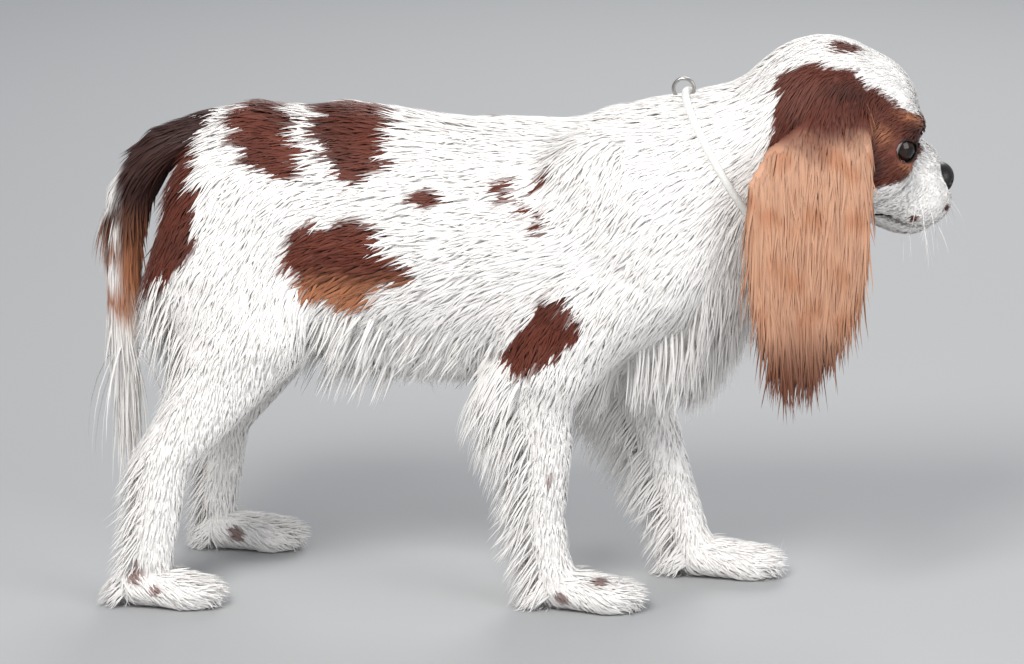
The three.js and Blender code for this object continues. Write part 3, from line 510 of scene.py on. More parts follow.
FACE_PATCH = [(-92, 16), (-75, 32), (-62, 35), (-47, 39), (-38, 33), (-29, 31), (-21, 28), (-13, 24),
              (-4, 23), (9, 25), (17, 19), (19, 8), (15, -6), (6, -16), (-8, -25), (-18, -36), (-40, -48),
              (-80, -44)]
PAW_MARKS = [(-236, -73, 22, 6), (-222, -76, 13, 4), (-190, 49, 13, 5), (38, -56, 9, 5), (62, -50, 20, 5),
             (29, -56, 86, 3)]
LIP_SPOT, CHIN_SPOT = (44, -30), (24, -42)
FACE_TAN = [((-19, 4), (8, 5)), ((5, -10), (7, 4)), ((0, 21), (11, 4))]
# Of the dark blobs, the second, in the brow's crease, is painted shade; the first and last darken the
# chestnut below the eye and near the ear.
FACE_DARK_AND_BROW_SHADE = [((-19, -17), (7, 6)), ((4, 13), (9, 3)), ((-46, 18), (18, 14))]


def srgb(*values):
    """Linear colour of red, green and blue given as 0 to 255 in sRGB."""
    share = np.array(values, float) / 255
    return np.where(share <= 0.04045, share / 12.92, ((share + 0.055) / 1.055) ** 2.4)


WHITE, CREAM = srgb(249, 246, 243), srgb(240, 226, 214)
# The last of these is painted light, the sheen on the ears' long hair, not a colour of the coat.
CHESTNUT, DARK, TAN, GOLD_SHEEN = srgb(100, 43, 25), srgb(54, 22, 14), srgb(182, 118, 82), srgb(206, 156, 126)
BLACK_SKIN = srgb(30, 21, 19)


def smooth_step(value, low, high):
    """0 below low, 1 above high, and 3 t squared less 2 t cubed between them."""
    t = np.clip((value - low) / (high - low), 0, 1)
    return t * t * (3 - 2 * t)


def mix(colours, other, share):
    """The colours, each turned into the other by its share."""
    return colours + (other - colours) * share[:, None]


def coat_colour(points):
    """Linear colour of the coat at points of the dog's frame, from the named patches."""
    local = (points - HEAD_AT) @ HEAD_AXES.T
    ahead, left, up = local.T
    x, y, z = points.T
    ragged = 3.2 * wander(points, 16, 3) + 1.6 * wander(points, 6, 4)
    brown = np.zeros(len(points))
    for side, start, patches, spots in ((-1, -9, RIGHT_PATCHES, RIGHT_SPOTS),
                                        (1, 9, LEFT_PATCHES, LEFT_SPOTS)):
        own = (y * side > start) & (x < 130)
        reach = np.full(len(points), FAR)
        for corners in patches:
            reach = np.minimum(reach, patch_field(points, corners) + ragged)
        for sx, sz, rx, rz in spots:
            spot = (np.hypot((x - sx) / rx, (z - sz) / rz) - 1) * min(rx, rz) + 0.4 * ragged
            reach = np.minimum(reach, spot)
        brown = np.where(own, np.maximum(brown, 1 - smooth_step(reach, -1.5, 1.5)), brown)
    shade = np.clip(0.5 + 0.5 * wander(points, 40, 8), 0, 1)[:, None]
    flank = smooth_step(-z, -228, -204) * ((x > -150) & (x < -50))
    colour = mix(CHESTNUT * (0.75 + 0.5 * shade), TAN, flank)
    flat = np.stack([ahead, np.zeros(len(points)), up], 1)
    face = patch_field(flat, FACE_PATCH) + 0.5 * ragged
    blaze = np.abs(left) - (9.5 + 0.5 * np.clip(up - 8, 0, 22) + 0.2 * ragged)
    mask = (1 - smooth_step(face, -1, 1)) * smooth_step(blaze, -1, 1) * (np.linalg.norm(local, axis=1) < 130)
    spot = np.hypot((ahead + 54) / 11, (left + 14) / 6) - 1 + 0.05 * ragged
    mask = np.maximum(mask, (1 - smooth_step(spot, -0.15, 0.15)) * (up > 36))
    face_colour = np.broadcast_to(CHESTNUT, (len(points), 3))
    # Tan and dark blobs over the face's chestnut; the dark one in the brow's crease is painted shade.
    for tone, blobs in ((TAN, FACE_TAN), (DARK, FACE_DARK_AND_BROW_SHADE)):
        for (blob_ahead, blob_up), (long, tall) in blobs:
            glow = np.exp(-((ahead - blob_ahead) / long) ** 2 - ((up - blob_up) / tall) ** 2)
            face_colour = mix(face_colour, tone, 0.75 * glow)
    for mark in PAW_MARKS:
        dot = np.linalg.norm(points - mark[:3], axis=1) - mark[3] + 0.3 * ragged
        brown = np.maximum(brown, 0.8 * (1 - smooth_step(dot, -1.5, 1.5)))
    for side, (spot_ahead, spot_up) in ((-1, LIP_SPOT), (1, LIP_SPOT), (-1, CHIN_SPOT)):
        dot = np.hypot(ahead - spot_ahead, up - spot_up) - 2.6 + 0.15 * ragged
        mask = np.maximum(mask, (1 - smooth_step(dot, -0.8, 0.8)) * (left * side > 3))
    colour = np.where((mask > brown)[:, None], face_colour, colour)
    return mix(WHITE, colour, np.maximum(brown, mask))


def ear_colour_and_sheen(points):
    """Dark chestnut over the ear's root, a painted sheen of light in gold and tan on its long hair, and dark
    again at the tips.
    """
    up = points[:, 2] - HEAD_AT[2] + 6 * wander(points, 30, 11)
    root, tip = smooth_step(up, -4, 20), smooth_step(-up, 92, 140)
    rear = (points - HEAD_AT) @ np.array([math.cos(YAW), math.sin(YAW), 0])
    # Painted sheen: the gold and tan of the long hair stand in for light shining on it; the hair itself is
    # chestnut.
    colour = mix(GOLD_SHEEN, TAN, 0.7 * smooth_step(wander(points, 26, 12), 0.0, 1.0))
    colour = mix(colour, CHESTNUT, 0.6 * smooth_step(-rear, 98, 110) * smooth_step(up, -40, -10))
    return mix(colour, CHESTNUT * 0.85, np.maximum(root, 0.8 * tip))


def tail_colour(points):
    """Dark brown at the root, tan lower, then a white plume, with a white streak along the outer edge."""
    z = points[:, 2] + 8 * wander(points, 30, 21)
    colour = mix(DARK, TAN, smooth_step(-z, -262, -196))
    colour = mix(colour, CREAM, smooth_step(-z, -200, -168))
    colour = mix(colour, WHITE, smooth_step(-z, -176, -150))
    rim = smooth_step(-points[:, 0], 249, 257) * smooth_step(wander(points, 22, 22), -0.5, 0.4)
    return mix(colour, WHITE, rim)


PART_NAMES = ["trunk", "neck", "head", "ear_right", "ear_left", "tail"] + [
    f"{name}_{piece}" for name in LEGS for piece in ("upper", "lower", "paw")]
EAR_PARTS, TAIL_PART = (3, 4), 5
EAR_FLATNESS = 7  # an ear's field grows this much too slowly along its width


def part_fields(points):
    """The parts' fields side by side, an ear's made steeper outside it by EAR_FLATNESS."""
    fields = parts_of(points)
    stacked = np.stack([fields[name] for name in PART_NAMES], 1)
    for index in EAR_PARTS:
        stacked[:, index] = np.where(stacked[:, index] > 1, 1 + (stacked[:, index] - 1) * EAR_FLATNESS,
                                     stacked[:, index])
    return stacked


def colour_of(points, label):
    """Coat colour where label is the part that the hair grows from."""
    colour = coat_colour(points)
    for index, rule in ((EAR_PARTS[0], ear_colour_and_sheen), (EAR_PARTS[1], ear_colour_and_sheen), (TAIL_PART, tail_colour)):
        own = label == index
        if own.any():
            colour[own] = rule(points[own])
    return colour


def colour_attribute(obj, name, colours):
    """Linear colours (n, 3) of the vertices, kept in the mesh under this name."""
    layer = obj.data.attributes.new(name, "FLOAT_COLOR", "POINT")
    layer.data.foreach_set("color", np.c_[colours, np.ones(len(colours))].astype(np.float32).ravel())


def hair_finish():
    """Silky hair: the coat's colour from its attribute, with fine lengthwise streaks from the strand map."""
    material, tree, surface = new_finish("coat_hair")
    colour = add_node(tree, "Attribute", attribute_name="coat")
    strand = add_node(tree, "UVMap", uv_map="strand")
    stretch = add_node(tree, "Mapping", {"Vector": strand.outputs["UV"], "Scale": (5.0, 0.5, 1.0)})
    streaks = add_node(tree, "TexNoise", {"Vector": stretch.outputs["Vector"], "Scale": 1.6, "Detail": 2.0})
    span = add_node(tree, "MapRange", {"Value": streaks.outputs["Fac"], "From Min": 0.3, "From Max": 0.7,
                                       "To Min": 0.86, "To Max": 1.05})
    tint = add_node(tree, "VectorMath", {0: colour.outputs["Color"], "Scale": span.outputs["Result"]},
                    operation="SCALE")
    bump = add_node(tree, "Bump", {"Height": streaks.outputs["Fac"], "Strength": 0.3, "Distance": 0.0003})
    fill(tree, surface, {"Base Color": tint.outputs["Vector"], "Normal": bump.outputs["Normal"],
                         "Roughness": 0.55, "Specular IOR Level": 0.35, "Sheen Weight": 0.25,
                         "Sheen Roughness": 0.4})
    return material


def skin_finish():
    """Skin and the finest fur on it: the coat's colour, with short hair as a bump along the body."""
    material, tree, surface = new_finish("coat_skin")
    colour = add_node(tree, "Attribute", attribute_name="coat")
    place = add_node(tree, "TexCoord")
    stretch = add_node(tree, "Mapping", {"Vector": place.outputs["Object"], "Scale": (260.0, 900.0, 700.0)})
    fur = add_node(tree, "TexNoise", {"Vector": stretch.outputs["Vector"], "Scale": 1.0, "Detail": 3.0})
    bump = add_node(tree, "Bump", {"Height": fur.outputs["Fac"], "Strength": 0.6, "Distance": 0.0006})
    fill(tree, surface, {"Base Color": colour.outputs["Color"], "Normal": bump.outputs["Normal"],
                         "Roughness": 0.7})
    return material


HAIR = hair_finish()
skin = mesh_object("skin", skin_points, skin_quads, skin_finish())
skin_colour = colour_of(skin_points, part_fields(skin_points).argmin(1))
for side in (-1, 1):
    ball = np.linalg.norm(skin_points - EYES[side], axis=1)
    rim = 1 - smooth_step(ball, EYE_RADIUS + 1.9, EYE_RADIUS + 3.2)
    skin_colour = mix(skin_colour, BLACK_SKIN, rim)
nose_near = 1 - smooth_step(head_ovoid(NOSE_AT, NOSE_RADII)(skin_points), 0.5, 2.2)
lips = (1 - smooth_step(mouth_line(skin_points), 0.5, 1.4)) * ((skin_points - HEAD_AT) @ HEAD_AXES[0] > -6)
skin_colour = mix(mix(skin_colour, BLACK_SKIN, nose_near), BLACK_SKIN, lips)
colour_attribute(skin, "coat", skin_colour)
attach(skin, "root")
CAD_FLESH = ["head", "neck", "torso", "tail", "ear_right", "ear_left"] + [
    f"{end}{piece}_{side}" for end in ("fore", "hind") for piece in ("leg", "paw")
    for side in ("right", "left")]
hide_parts(*CAD_FLESH)


# Coat: locks of silky hair all over the skin, short and close on face and legs, long on ears, tail,
# chest, belly and the backs of the legs. Each is a closed three-sided blade that tapers to its tip.
def unit(vectors):
    """The vectors scaled to length 1."""
    return vectors / np.maximum(np.linalg.norm(vectors, axis=-1, keepdims=True), TINY)


def skin_roots(count, weight, seed):
    """count points spread over the skin by seeded chance, as likely by area times weight (one number a
    quad), with the skin's outward direction there."""
    rng = np.random.default_rng(seed)
    corner = skin_points[skin_quads]
    area = 0.5 * np.linalg.norm(np.cross(corner[:, 2] - corner[:, 0], corner[:, 3] - corner[:, 1]), axis=1)
    chance = np.cumsum(area * weight)
    quad = np.searchsorted(chance, rng.random(count) * chance[-1]).clip(0, len(corner) - 1)
    u, v = rng.random((2, count, 1))
    c = corner[quad]
    roots = (c[:, 0] * (1 - u) + c[:, 1] * u) * (1 - v) + (c[:, 3] * (1 - u) + c[:, 2] * u) * v
    return roots, unit(slope_of(skin_field, roots))


HEAD_BACK = -HEAD_AXES[0]
DOWN = np.array([0.0, 0.0, -1.0])
COAT_HEIGHT = {"trunk": 3.3, "neck": 3.6, "head": 1.5, "ear": 5.0, "tail": 6.0, "upper": 3.0, "lower": 2.2,
               "paw": 2.0}
LOCK_WIDTH = {"trunk": 1.8, "neck": 1.8, "head": 1.1, "ear": 1.9, "tail": 2.0, "upper": 1.7, "lower": 1.4,
              "paw": 1.3}
PART_FADE = 7  # in millimetres of field, the distance over which one part's hair turns into the next's


def hair_rules(roots, out):
    """Direction, length, width and coat height of the hair at its roots, mixed from the parts near by."""
    fields = part_fields(roots)
    label = fields.argmin(1)
    share = np.exp(-(fields - fields.min(1, keepdims=True)) / PART_FADE)
    share /= share.sum(1, keepdims=True)
    x, y, z = roots.T
    lx, ly, lz = HEAD_AXES @ (roots - HEAD_AT).T
    none, one = np.zeros(len(roots)), np.ones(len(roots))
    low = smooth_step(-z, -250, -165)
    front = smooth_step(out[:, 0], 0.2, 0.75) * (x > 60)
    under = smooth_step(-out[:, 2], 0.15, 0.7)
    rear = smooth_step(-out[:, 0], 0.35, 0.85)
    ear_middle = HEAD_AT[0] - 54.0 + 0.06 * (250 - z)
    ear_spread = np.clip((x - ear_middle) / 42, -1, 1)
    ear_spread = ear_spread * np.maximum(smooth_step(-z, -290, -235), smooth_step(z, 270, 300))
    ear_low = 158 + 34 * smooth_step(ear_spread, 0.1, 1) + 12 * wander(roots, 22, 31)
    top = smooth_step(z, 262, 296)
    cheek = smooth_step(np.abs(ly), 14, 36)
    muzzle = smooth_step(lx, 6, 20)
    burn = smooth_step(np.abs(ly), 22, 32) * smooth_step(-lx, 12, 30) * smooth_step(-lz, -36, -26)
    aside = 0.35 * np.sign(ly) * (1 - muzzle) + 0.5 * muzzle * np.sign(ly)
    drop = 0.15 + 0.55 * cheek + 0.5 * muzzle * (lz < -12) + 2.2 * burn
    lie = {"trunk": (-1 + 0.55 * low + 0.9 * front, none, -0.22 - 0.75 * low - front - 0.3 * under),
           "neck": (-0.75 + 0.7 * front, none, -0.6 - 0.4 * front),
           "head": (HEAD_BACK + HEAD_AXES[1] * aside[:, None] + DOWN * drop[:, None]).T,
           "ear": ((0.5 * smooth_step(z, 270, 310) - 0.34) * ear_spread, -0.04 * np.sign(y - 8), -one),
           "tail": (-0.9 * top + 0.03, none, -1 + 0.6 * top),
           "upper": (-0.4 * one, none, -0.95 * one),
           "lower": (-0.16 - 0.5 * rear, none, -one),
           "paw": (0.85 - 1.3 * rear, none, -0.5 * one)}
    length = {"trunk": 21 + 6 * low + 20 * front + 6 * under * (x < 60), "neck": 21 + 14 * front,
              "head": 7.0 - 3.4 * muzzle + 6 * smooth_step(-lx, 40, 90) + 3 * cheek * (1 - muzzle)
              + 13 * burn,
              "ear": np.clip(np.minimum(30 + 0.75 * (HEAD_AT[2] + 10 - z), z - ear_low), 18, 84),
              "tail": np.clip(24 + 0.6 * (300 - z), 22, 96),
              "upper": 19 + 20 * rear * smooth_step(z, 130, 200), "lower": 9 + 27 * rear,
              "paw": 10 + 8 * smooth_step(out[:, 0], 0.0, 0.7) + 12 * rear}
    way, long, high, wide = np.zeros(roots.shape), none.copy(), none.copy(), none.copy()
    for index, name in enumerate(PART_NAMES):
        kind = next(k for k in lie if name.startswith(k) or name.endswith(k))
        way += share[:, index, None] * unit(np.stack(lie[kind], 1))
        long += share[:, index] * length[kind]
        high += share[:, index] * COAT_HEIGHT[kind]
        wide += share[:, index] * LOCK_WIDTH[kind]
    way -= out * (way * out).sum(1, keepdims=True)
    return label, unit(way), long, high, wide


TILES, TILE_SHARE, TILE_EDGE, LOCK_PATCH = 5, 0.18, 0.01, 0.003
OF_TILE = {name: (index % TILES / TILES, index // TILES / TILES) for index, name in enumerate(PART_NAMES)}


def unwrap(roots, label):
    """Place of a root on the unwrapped skin: a tile for each part, in which the angle round the part's
    length runs across and the way along it runs up."""
    place = np.zeros((len(roots), 2))
    for index, name in enumerate(PART_NAMES):
        own = label == index
        if not own.any():
            continue
        part = roots[own]
        middle = part.mean(0)
        lengthwise = name in ("trunk", "neck", "head")
        along = part[:, 0] if lengthwise else part[:, 2]
        across = part[:, 2] - middle[2] if lengthwise else part[:, 0] - middle[0]
        turn = np.arctan2(part[:, 1] - middle[1], across) / (2 * math.pi) + 0.5
        share = (along - along.min()) / max(np.ptp(along), TINY)
        place[own] = np.stack([turn, share], 1) * TILE_SHARE + TILE_EDGE + OF_TILE[name]
    return place


def lock_faces(rings):
    """Triangles of one lock: its closed root, three sides from ring to ring, and the tip's three."""
    faces = [(0, 1, 2)]
    for ring in range(rings - 1):
        for a in range(3):
            p, q = ring * 3 + a, ring * 3 + (a + 1) % 3
            faces += [(q, p, p + 3), (q, p + 3, q + 3)]
    last = (rings - 1) * 3
    return np.array(faces + [(last + (a + 1) % 3, last + a, last + 3) for a in range(3)])


def soften(obj, out, along, across, up, rings):
    """Shading normals of the locks: above, between the blade's own and the body's outward direction, so
    that the coat reads as one soft surface; below, the blade's own, turned a little outwards."""
    body = out[:, None] - along * (out[:, None] * along).sum(2, keepdims=True)
    above = np.stack([body * 0.6 + up * 0.4 + across * 0.45, body * 0.6 + up * 0.5,
                      body * 0.6 + up * 0.4 - across * 0.45], 2)
    under = np.stack([body * 0.1 - up * 0.6 + across * 0.7, body * 0.1 - up,
                      body * 0.1 - up * 0.6 - across * 0.7], 2)
    above, under = (unit(np.concatenate([n[:, :rings].reshape(len(out), -1, 3), n[:, -1, 1:2]], 1))
                    for n in (above, under))
    faces = lock_faces(rings)
    below = np.array([True] + [False, False, False, False, True, True] * (rings - 1) + [False, False, True])
    corners = np.where(below[None, :, None, None], under[:, faces], above[:, faces])
    obj.data.normals_split_custom_set(corners.reshape(-1, 3))


LIFT, STRAY_START, STRAY_END, STRAY_OUT, WAVE = 0.08, 0.10, 0.12, 0.05, 0.03
ROOT_DEPTH, FLOOR_GAP = 0.8, 1.2


def grow(name, roots, out, label, way, long, high, wide, rings, hang, seed, stray, fall):
    """One piece of coat. A lock runs from its root along way and bends towards hang (0 follows the body,
    1 hangs straight down); rings of three points round its line shrink to the tip, and each ring is moved
    out until it clears the skin, or onto the coat's height where the hair lies close."""
    rng = np.random.default_rng(seed)
    n = len(roots)
    side = np.cross(out, way)
    swing = rng.normal(0, 1, (n, 1))
    start = unit(way + out * LIFT + side * (STRAY_START * stray) * swing)
    end = start * (1 - hang)[:, None] + fall * hang[:, None] + side * (STRAY_END * stray) * swing
    end = unit(end + out * (STRAY_OUT * stray) * rng.normal(0, 1, (n, 1)))
    long = (long * rng.uniform(0.78, 1.18, n))[:, None]
    wave = rng.uniform(-1, 1, (n, 1)) * long * WAVE
    phase = rng.uniform(0, 6.28, (n, 1))
    wide = (wide * rng.uniform(0.75, 1.25, n))[:, None]
    knee = roots + start * long * 0.45
    tip = knee + end * long * 0.55
    shares = np.linspace(0, 1, rings + 1)
    lines = []
    for t in shares:
        line = (1 - t) ** 2 * (roots - out * ROOT_DEPTH) + 2 * t * (1 - t) * knee + t * t * tip
        lines.append(line + side * wave * np.sin(phase + 5 * t) * t)
    lines = np.stack(lines, 1)
    level = skin_field(lines.reshape(-1, 3)).reshape(n, rings + 1)
    aim = high[:, None] * (0.1 + 0.9 * np.sqrt(shares))[None] * rng.uniform(0.55, 1.1, (n, 1))
    close = (1 - smooth_step(hang, 0.0, 0.35))[:, None]
    shift = np.where(level < aim, aim - level, close * (aim - level))
    shift[:, 0] = 0
    lines = lines + out[:, None] * np.clip(shift, -6, 9)[..., None]
    lines[..., 2] = np.maximum(lines[..., 2], FLOOR_GAP)
    along = unit(np.gradient(lines, axis=1))
    across = unit(np.cross(along, out[:, None]))
    up = np.cross(across, along)
    taper = np.where(shares < 0.25, 0.6 + 1.6 * shares, 1.0 - 0.9 * ((shares - 0.25) / 0.75) ** 1.4)[:rings]
    half = (wide * 0.5 * taper[None])[..., None]
    rim = [across[:, :rings] * half, up[:, :rings] * half * 0.45, -across[:, :rings] * half]
    body = np.stack([lines[:, :rings] + one for one in rim], 2)
    points = np.concatenate([body.reshape(n, -1, 3), lines[:, -1:]], 1)
    per = points.shape[1]
    every = (lock_faces(rings)[None] + (np.arange(n) * per)[:, None, None]).reshape(-1, 3)
    obj = mesh_object(name, points.reshape(-1, 3), every, HAIR)
    spots = np.concatenate([np.repeat(lines[:, :rings], 3, 1), lines[:, -1:]], 1)
    lengthwise = np.append(np.repeat(shares[:rings], 3), 1.0)
    crosswise = np.append(np.tile([0.0, 0.5, 1.0], rings), 0.5)
    # Each lock's tone differs at random, and a factor falling from 1 at the tip to 0.82 at the root paints it
    # darker towards its root: painted shade among the hair, mostly lifted where the hair is white.
    tint = rng.uniform(0.86, 1.06, (n, 1, 1)) * (0.82 + 0.18 * lengthwise)[None, :, None]
    far = np.isin(label, (*EAR_PARTS, TAIL_PART))[:, None, None]
    where = np.where(far, spots, np.repeat(lines[:, rings // 2 + 1][:, None], per, 1))
    colours = colour_of(where.reshape(-1, 3), np.repeat(label, per)).reshape(n, per, 3)
    white = smooth_step(colours.min(2), 0.35, 0.8)[..., None]
    tint = tint + (1 - tint) * 0.75 * white
    colour_attribute(obj, "coat", np.clip(colours * tint, 0, 1).reshape(-1, 3))
    strand = np.stack([crosswise[None] + rng.uniform(0, 40, (n, 1)),
                       lengthwise[None] * long / 20 + rng.uniform(0, 40, (n, 1))], 2)
    patch = unwrap(roots, label)[:, None] + LOCK_PATCH * np.stack([crosswise, lengthwise], 1)[None]
    for map_name, values in (("OFBake", patch), ("strand", strand)):
        layer = obj.data.uv_layers.new(name=map_name)
        layer.data.foreach_set("uv", values.reshape(-1, 2)[every.reshape(-1)].astype(np.float32).ravel())
    soften(obj, out, along, across, up, rings)
    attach(obj, "root")


quad_points = skin_points[skin_quads].mean(1)
quad_label = part_fields(quad_points).argmin(1)
quad_out = unit(slope_of(skin_field, quad_points))


def bare(points):
    """Where no hair grows: on the eyes and their rims, the nose, the lips' edge and the soles."""
    clear = np.zeros(len(points), bool)
    for side in (-1, 1):
        away = points - EYES[side]
        look = HEAD_AXES[0] * 0.45 + HEAD_AXES[1] * 0.89 * side
        clear |= (np.linalg.norm(away, axis=1) < EYE_RADIUS + 3.4) & (away @ look > 2)
    clear |= head_ovoid(NOSE_AT, NOSE_RADII)(points) < 1.6
    clear |= (mouth_line(points) < 0.7) & ((points - HEAD_AT) @ HEAD_AXES[0] > 0)
    return clear | (points[:, 2] < 1.5)


def coat_piece(name, parts, count, rings, seed, hang=0.0, stray=1.0, fall=DOWN, only=None, shape=None,
               slim=1.0):
    """Coat over some parts of the skin: count locks, with the rules' direction, length and width. Roots are
    kept where only(points, outward) holds, and shape(points, outward) may give direction and length."""
    count = int(count * (1))
    own = [index for index, part in enumerate(PART_NAMES) if any(p in part for p in parts)]
    wanted = np.isin(quad_label, own)
    if only is not None:
        wanted = wanted & only(quad_points, quad_out)
    roots, out = skin_roots(count, wanted.astype(float), seed)
    keep = ~bare(roots)
    roots, out = roots[keep], out[keep]
    if parts[0].startswith("ear"):
        out = unit(out * (0.3, 1, 0.1) + np.sign(out[:, 1:2]) * (0, 0.4, 0))
    label, way, long, high, wide = hair_rules(roots, out)
    if shape is not None:
        way, long = shape(roots, out)
        way = unit(way)
    loose = np.clip((long - 24) / 30, 0, 1) * 0.8 + hang
    wide = wide * slim * 1
    grow(name, roots, out, label, way, long, high, wide, rings, np.clip(loose, 0, 1), seed + 100, stray,
         unit(np.asarray(fall, float)))


coat_piece("coat_trunk_front", ["trunk"], 10000, 3, 31, only=lambda p, o: p[:, 0] > 0)
coat_piece("coat_trunk_rear", ["trunk"], 10000, 3, 32, only=lambda p, o: p[:, 0] <= 0)
coat_piece("coat_neck", ["neck"], 5000, 3, 33)
coat_piece("coat_head", ["head"], 11000, 2, 34, stray=0.6)
coat_piece("coat_muzzle", ["head"], 6000, 2, 35, stray=0.6,
           only=lambda p, o: (p - HEAD_AT) @ HEAD_AXES[0] > 4)
coat_piece("coat_ear_right", ["ear_right"], 3200, 6, 36, hang=0.15, stray=0.6)
coat_piece("coat_ear_left", ["ear_left"], 3200, 6, 37, hang=0.15, stray=0.6)
coat_piece("coat_tail", ["tail"], 2600, 6, 38, hang=0.2, stray=0.5)
coat_piece("coat_thighs", ["hind_right_upper", "hind_left_upper"], 7000, 3, 39)
coat_piece("coat_shoulders", ["fore_right_upper", "fore_left_upper"], 4500, 3, 40)
coat_piece("coat_forelegs", ["fore_right_lower", "fore_left_lower"], 5000, 3, 41)
coat_piece("coat_hindlegs", ["hind_right_lower", "hind_left_lower"], 5000, 3, 42)
coat_piece("coat_paws", ["_paw"], 5000, 3, 43)


# Feathering: the long, fine and slightly wavy hair of the breed behind the legs, under the belly, on the
# chest and on the feet, grown in the same way as the coat.
def feather(name, parts, count, seed, where, direction, longest, least, between, fall):
    """Locks as long as longest at height between[1], and least at between[0], along direction."""
    def shape(points, outward):
        share = smooth_step(points[:, 2], *between)
        return np.broadcast_to(np.array(direction, float), points.shape), least + (longest - least) * share
    coat_piece(name, parts, count, 6, seed, hang=0.25, fall=fall, only=where, shape=shape, slim=0.8)


for leg_name, leg in LEGS.items():
    level = leg["side"]
    if leg_name.startswith("hind"):
        feather(f"trousers_{leg_name}", [f"{leg_name}_upper"], 420, 51,
                lambda p, o: (o[:, 0] < -0.5) & (p[:, 2] < 260),
                (-0.5, 0.06 * level, -0.85), 46, 40, (150, 250), (-0.02, 0, -1))
        feather(f"feather_{leg_name}", [f"{leg_name}_lower"], 420, 52, lambda p, o: o[:, 0] < -0.35,
                (-0.55, 0.05 * level, -0.8), 34, 26, (40, 160), (-0.3, 0, -1))
    else:
        feather(f"feather_{leg_name}", [f"{leg_name}_lower"], 700, 53, lambda p, o: o[:, 0] < -0.25,
                (-0.6, 0.08 * level, -0.75), 50, 28, (40, 150), (-0.16, 0, -1))
    feather(f"slipper_{leg_name}", [f"{leg_name}_paw"], 260, 54,
            lambda p, o: (o[:, 0] > 0.1) & (o[:, 2] > -0.2),
            (1, 0.05 * level, 0.1), 15, 12, (4, 30), (0.8, 0, -0.8))
    feather(f"heel_{leg_name}", [f"{leg_name}_paw"], 160, 55,
            lambda p, o: (o[:, 0] < -0.3) & (o[:, 2] > -0.3),
            (-0.7, 0.05 * level, -0.6), 26, 18, (8, 30), (-0.5, 0, -0.8))
feather("fringe_belly", ["trunk"], 320, 56,
        lambda p, o: (o[:, 2] < -0.4) & (p[:, 0] > -150) & (p[:, 0] < -70),
        (-0.4, 0, -0.85), 34, 30, (140, 175), (-0.3, 0, -1))
feather("fringe_brisket", ["trunk"], 260, 59,
        lambda p, o: (o[:, 2] < -0.4) & (p[:, 0] > -70) & (p[:, 0] < 50),
        (-0.55, 0, -0.7), 20, 18, (140, 175), (-0.5, 0, -0.8))
feather("bib_chest", ["trunk"], 900, 57,
        lambda p, o: (p[:, 0] > 78) & (p[:, 2] < 235) & (o[:, 2] < 0.3),
        (0.05, 0, -1), 46, 34, (150, 225), (-0.25, 0, -1))


# Whiskers: stiff, thin hairs that stand out from the lips and the chin, grown like the coat but few and
# slim.
WHISKER_LENGTH = 27.0


def whisker_shape(points, outward):
    """Whiskers spread out, down and back from the muzzle and chin."""
    side = np.sign((points - HEAD_AT) @ HEAD_AXES[1])[:, None]
    way = HEAD_AXES[1] * side * 0.8 + DOWN * 0.55 + HEAD_AXES[0] * 0.1 + outward * 0.5
    return way, np.full(len(points), WHISKER_LENGTH)


coat_piece("whiskers", ["head"], 44, 6, 58, hang=0.3, fall=(-0.35, 0, -0.9), shape=whisker_shape, slim=0.32,
           only=lambda p, o: ((p - HEAD_AT) @ HEAD_AXES[0] > 20) & ((p - HEAD_AT) @ HEAD_AXES[2] < -20))


# Eyes: large dark brown balls, wet and shining, with a little white at the outer corner. Each is set in
# its lids and looks ahead and out.
def ball_mesh(around, down):
    """A unit ball of this many points around and rings down, each ring's angle evenly spaced, closed by
    one point at each pole; the pole is along x. Returns points and faces."""
    polar = np.linspace(0, math.pi, down + 1)[1:-1]
    turn = np.arange(around) * 2 * math.pi / around
    ring = np.stack([np.repeat(np.cos(polar), around), (np.sin(polar)[:, None] * np.cos(turn)).ravel(),
                     (np.sin(polar)[:, None] * np.sin(turn)).ravel()], 1)
    points = np.concatenate([ring, [[1, 0, 0], [-1, 0, 0]]])
    faces = []
    for row in range(down - 2):
        a = row * around + np.arange(around)
        b = row * around + (np.arange(around) + 1) % around
        faces += [tuple(f) for f in np.stack([a, a + around, b + around, b], 1)]
    top, end = len(ring), len(ring) + 1
    first = (down - 2) * around
    faces += [(top, k, (k + 1) % around) for k in range(around)]
    faces += [(end, first + (k + 1) % around, first + k) for k in range(around)]
    return points, faces


def eye_finish():
    """Wet and dark: the colour from its attribute, smooth, with a thin clear coat."""
    material, tree, surface = new_finish("eye_wet")
    colour = add_node(tree, "Attribute", attribute_name="eye")
    fill(tree, surface, {"Base Color": colour.outputs["Color"], "Roughness": 0.16, "Specular IOR Level": 0.3,
                         "Coat Weight": 0.2, "Coat Roughness": 0.02})
    return material


EYE_FINISH = eye_finish()
EYE_AROUND, EYE_DOWN = 40, 28
PUPIL, IRIS, IRIS_RIM, EYE_WHITE = srgb(12, 8, 7), srgb(36, 19, 12), srgb(14, 9, 8), srgb(214, 204, 200)
for side, side_name in ((-1, "right"), (1, "left")):
    points, faces = ball_mesh(EYE_AROUND, EYE_DOWN)
    gaze = unit(np.array([0.66, 0.74 * side, 0.02]))
    level = unit(np.cross([0, 0, 1.0], gaze))
    turned = points @ np.stack([gaze, level, np.cross(gaze, level)])
    off = np.degrees(np.arccos(np.clip(points[:, 0], -1, 1)))
    colour = mix(PUPIL, IRIS, smooth_step(off, 17, 22))
    colour = mix(colour, IRIS_RIM, smooth_step(off, 44, 50))
    colour = mix(colour, EYE_WHITE, smooth_step(off, 54, 58))
    placed = on_head(turned * EYE_RADIUS + np.array(EYE_AT) * [1, side, 1])
    eye = mesh_object(f"eyeball_{side_name}", placed, faces, EYE_FINISH)
    colour_attribute(eye, "eye", colour)
    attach(eye, "root")
    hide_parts(f"eye_{side_name}")


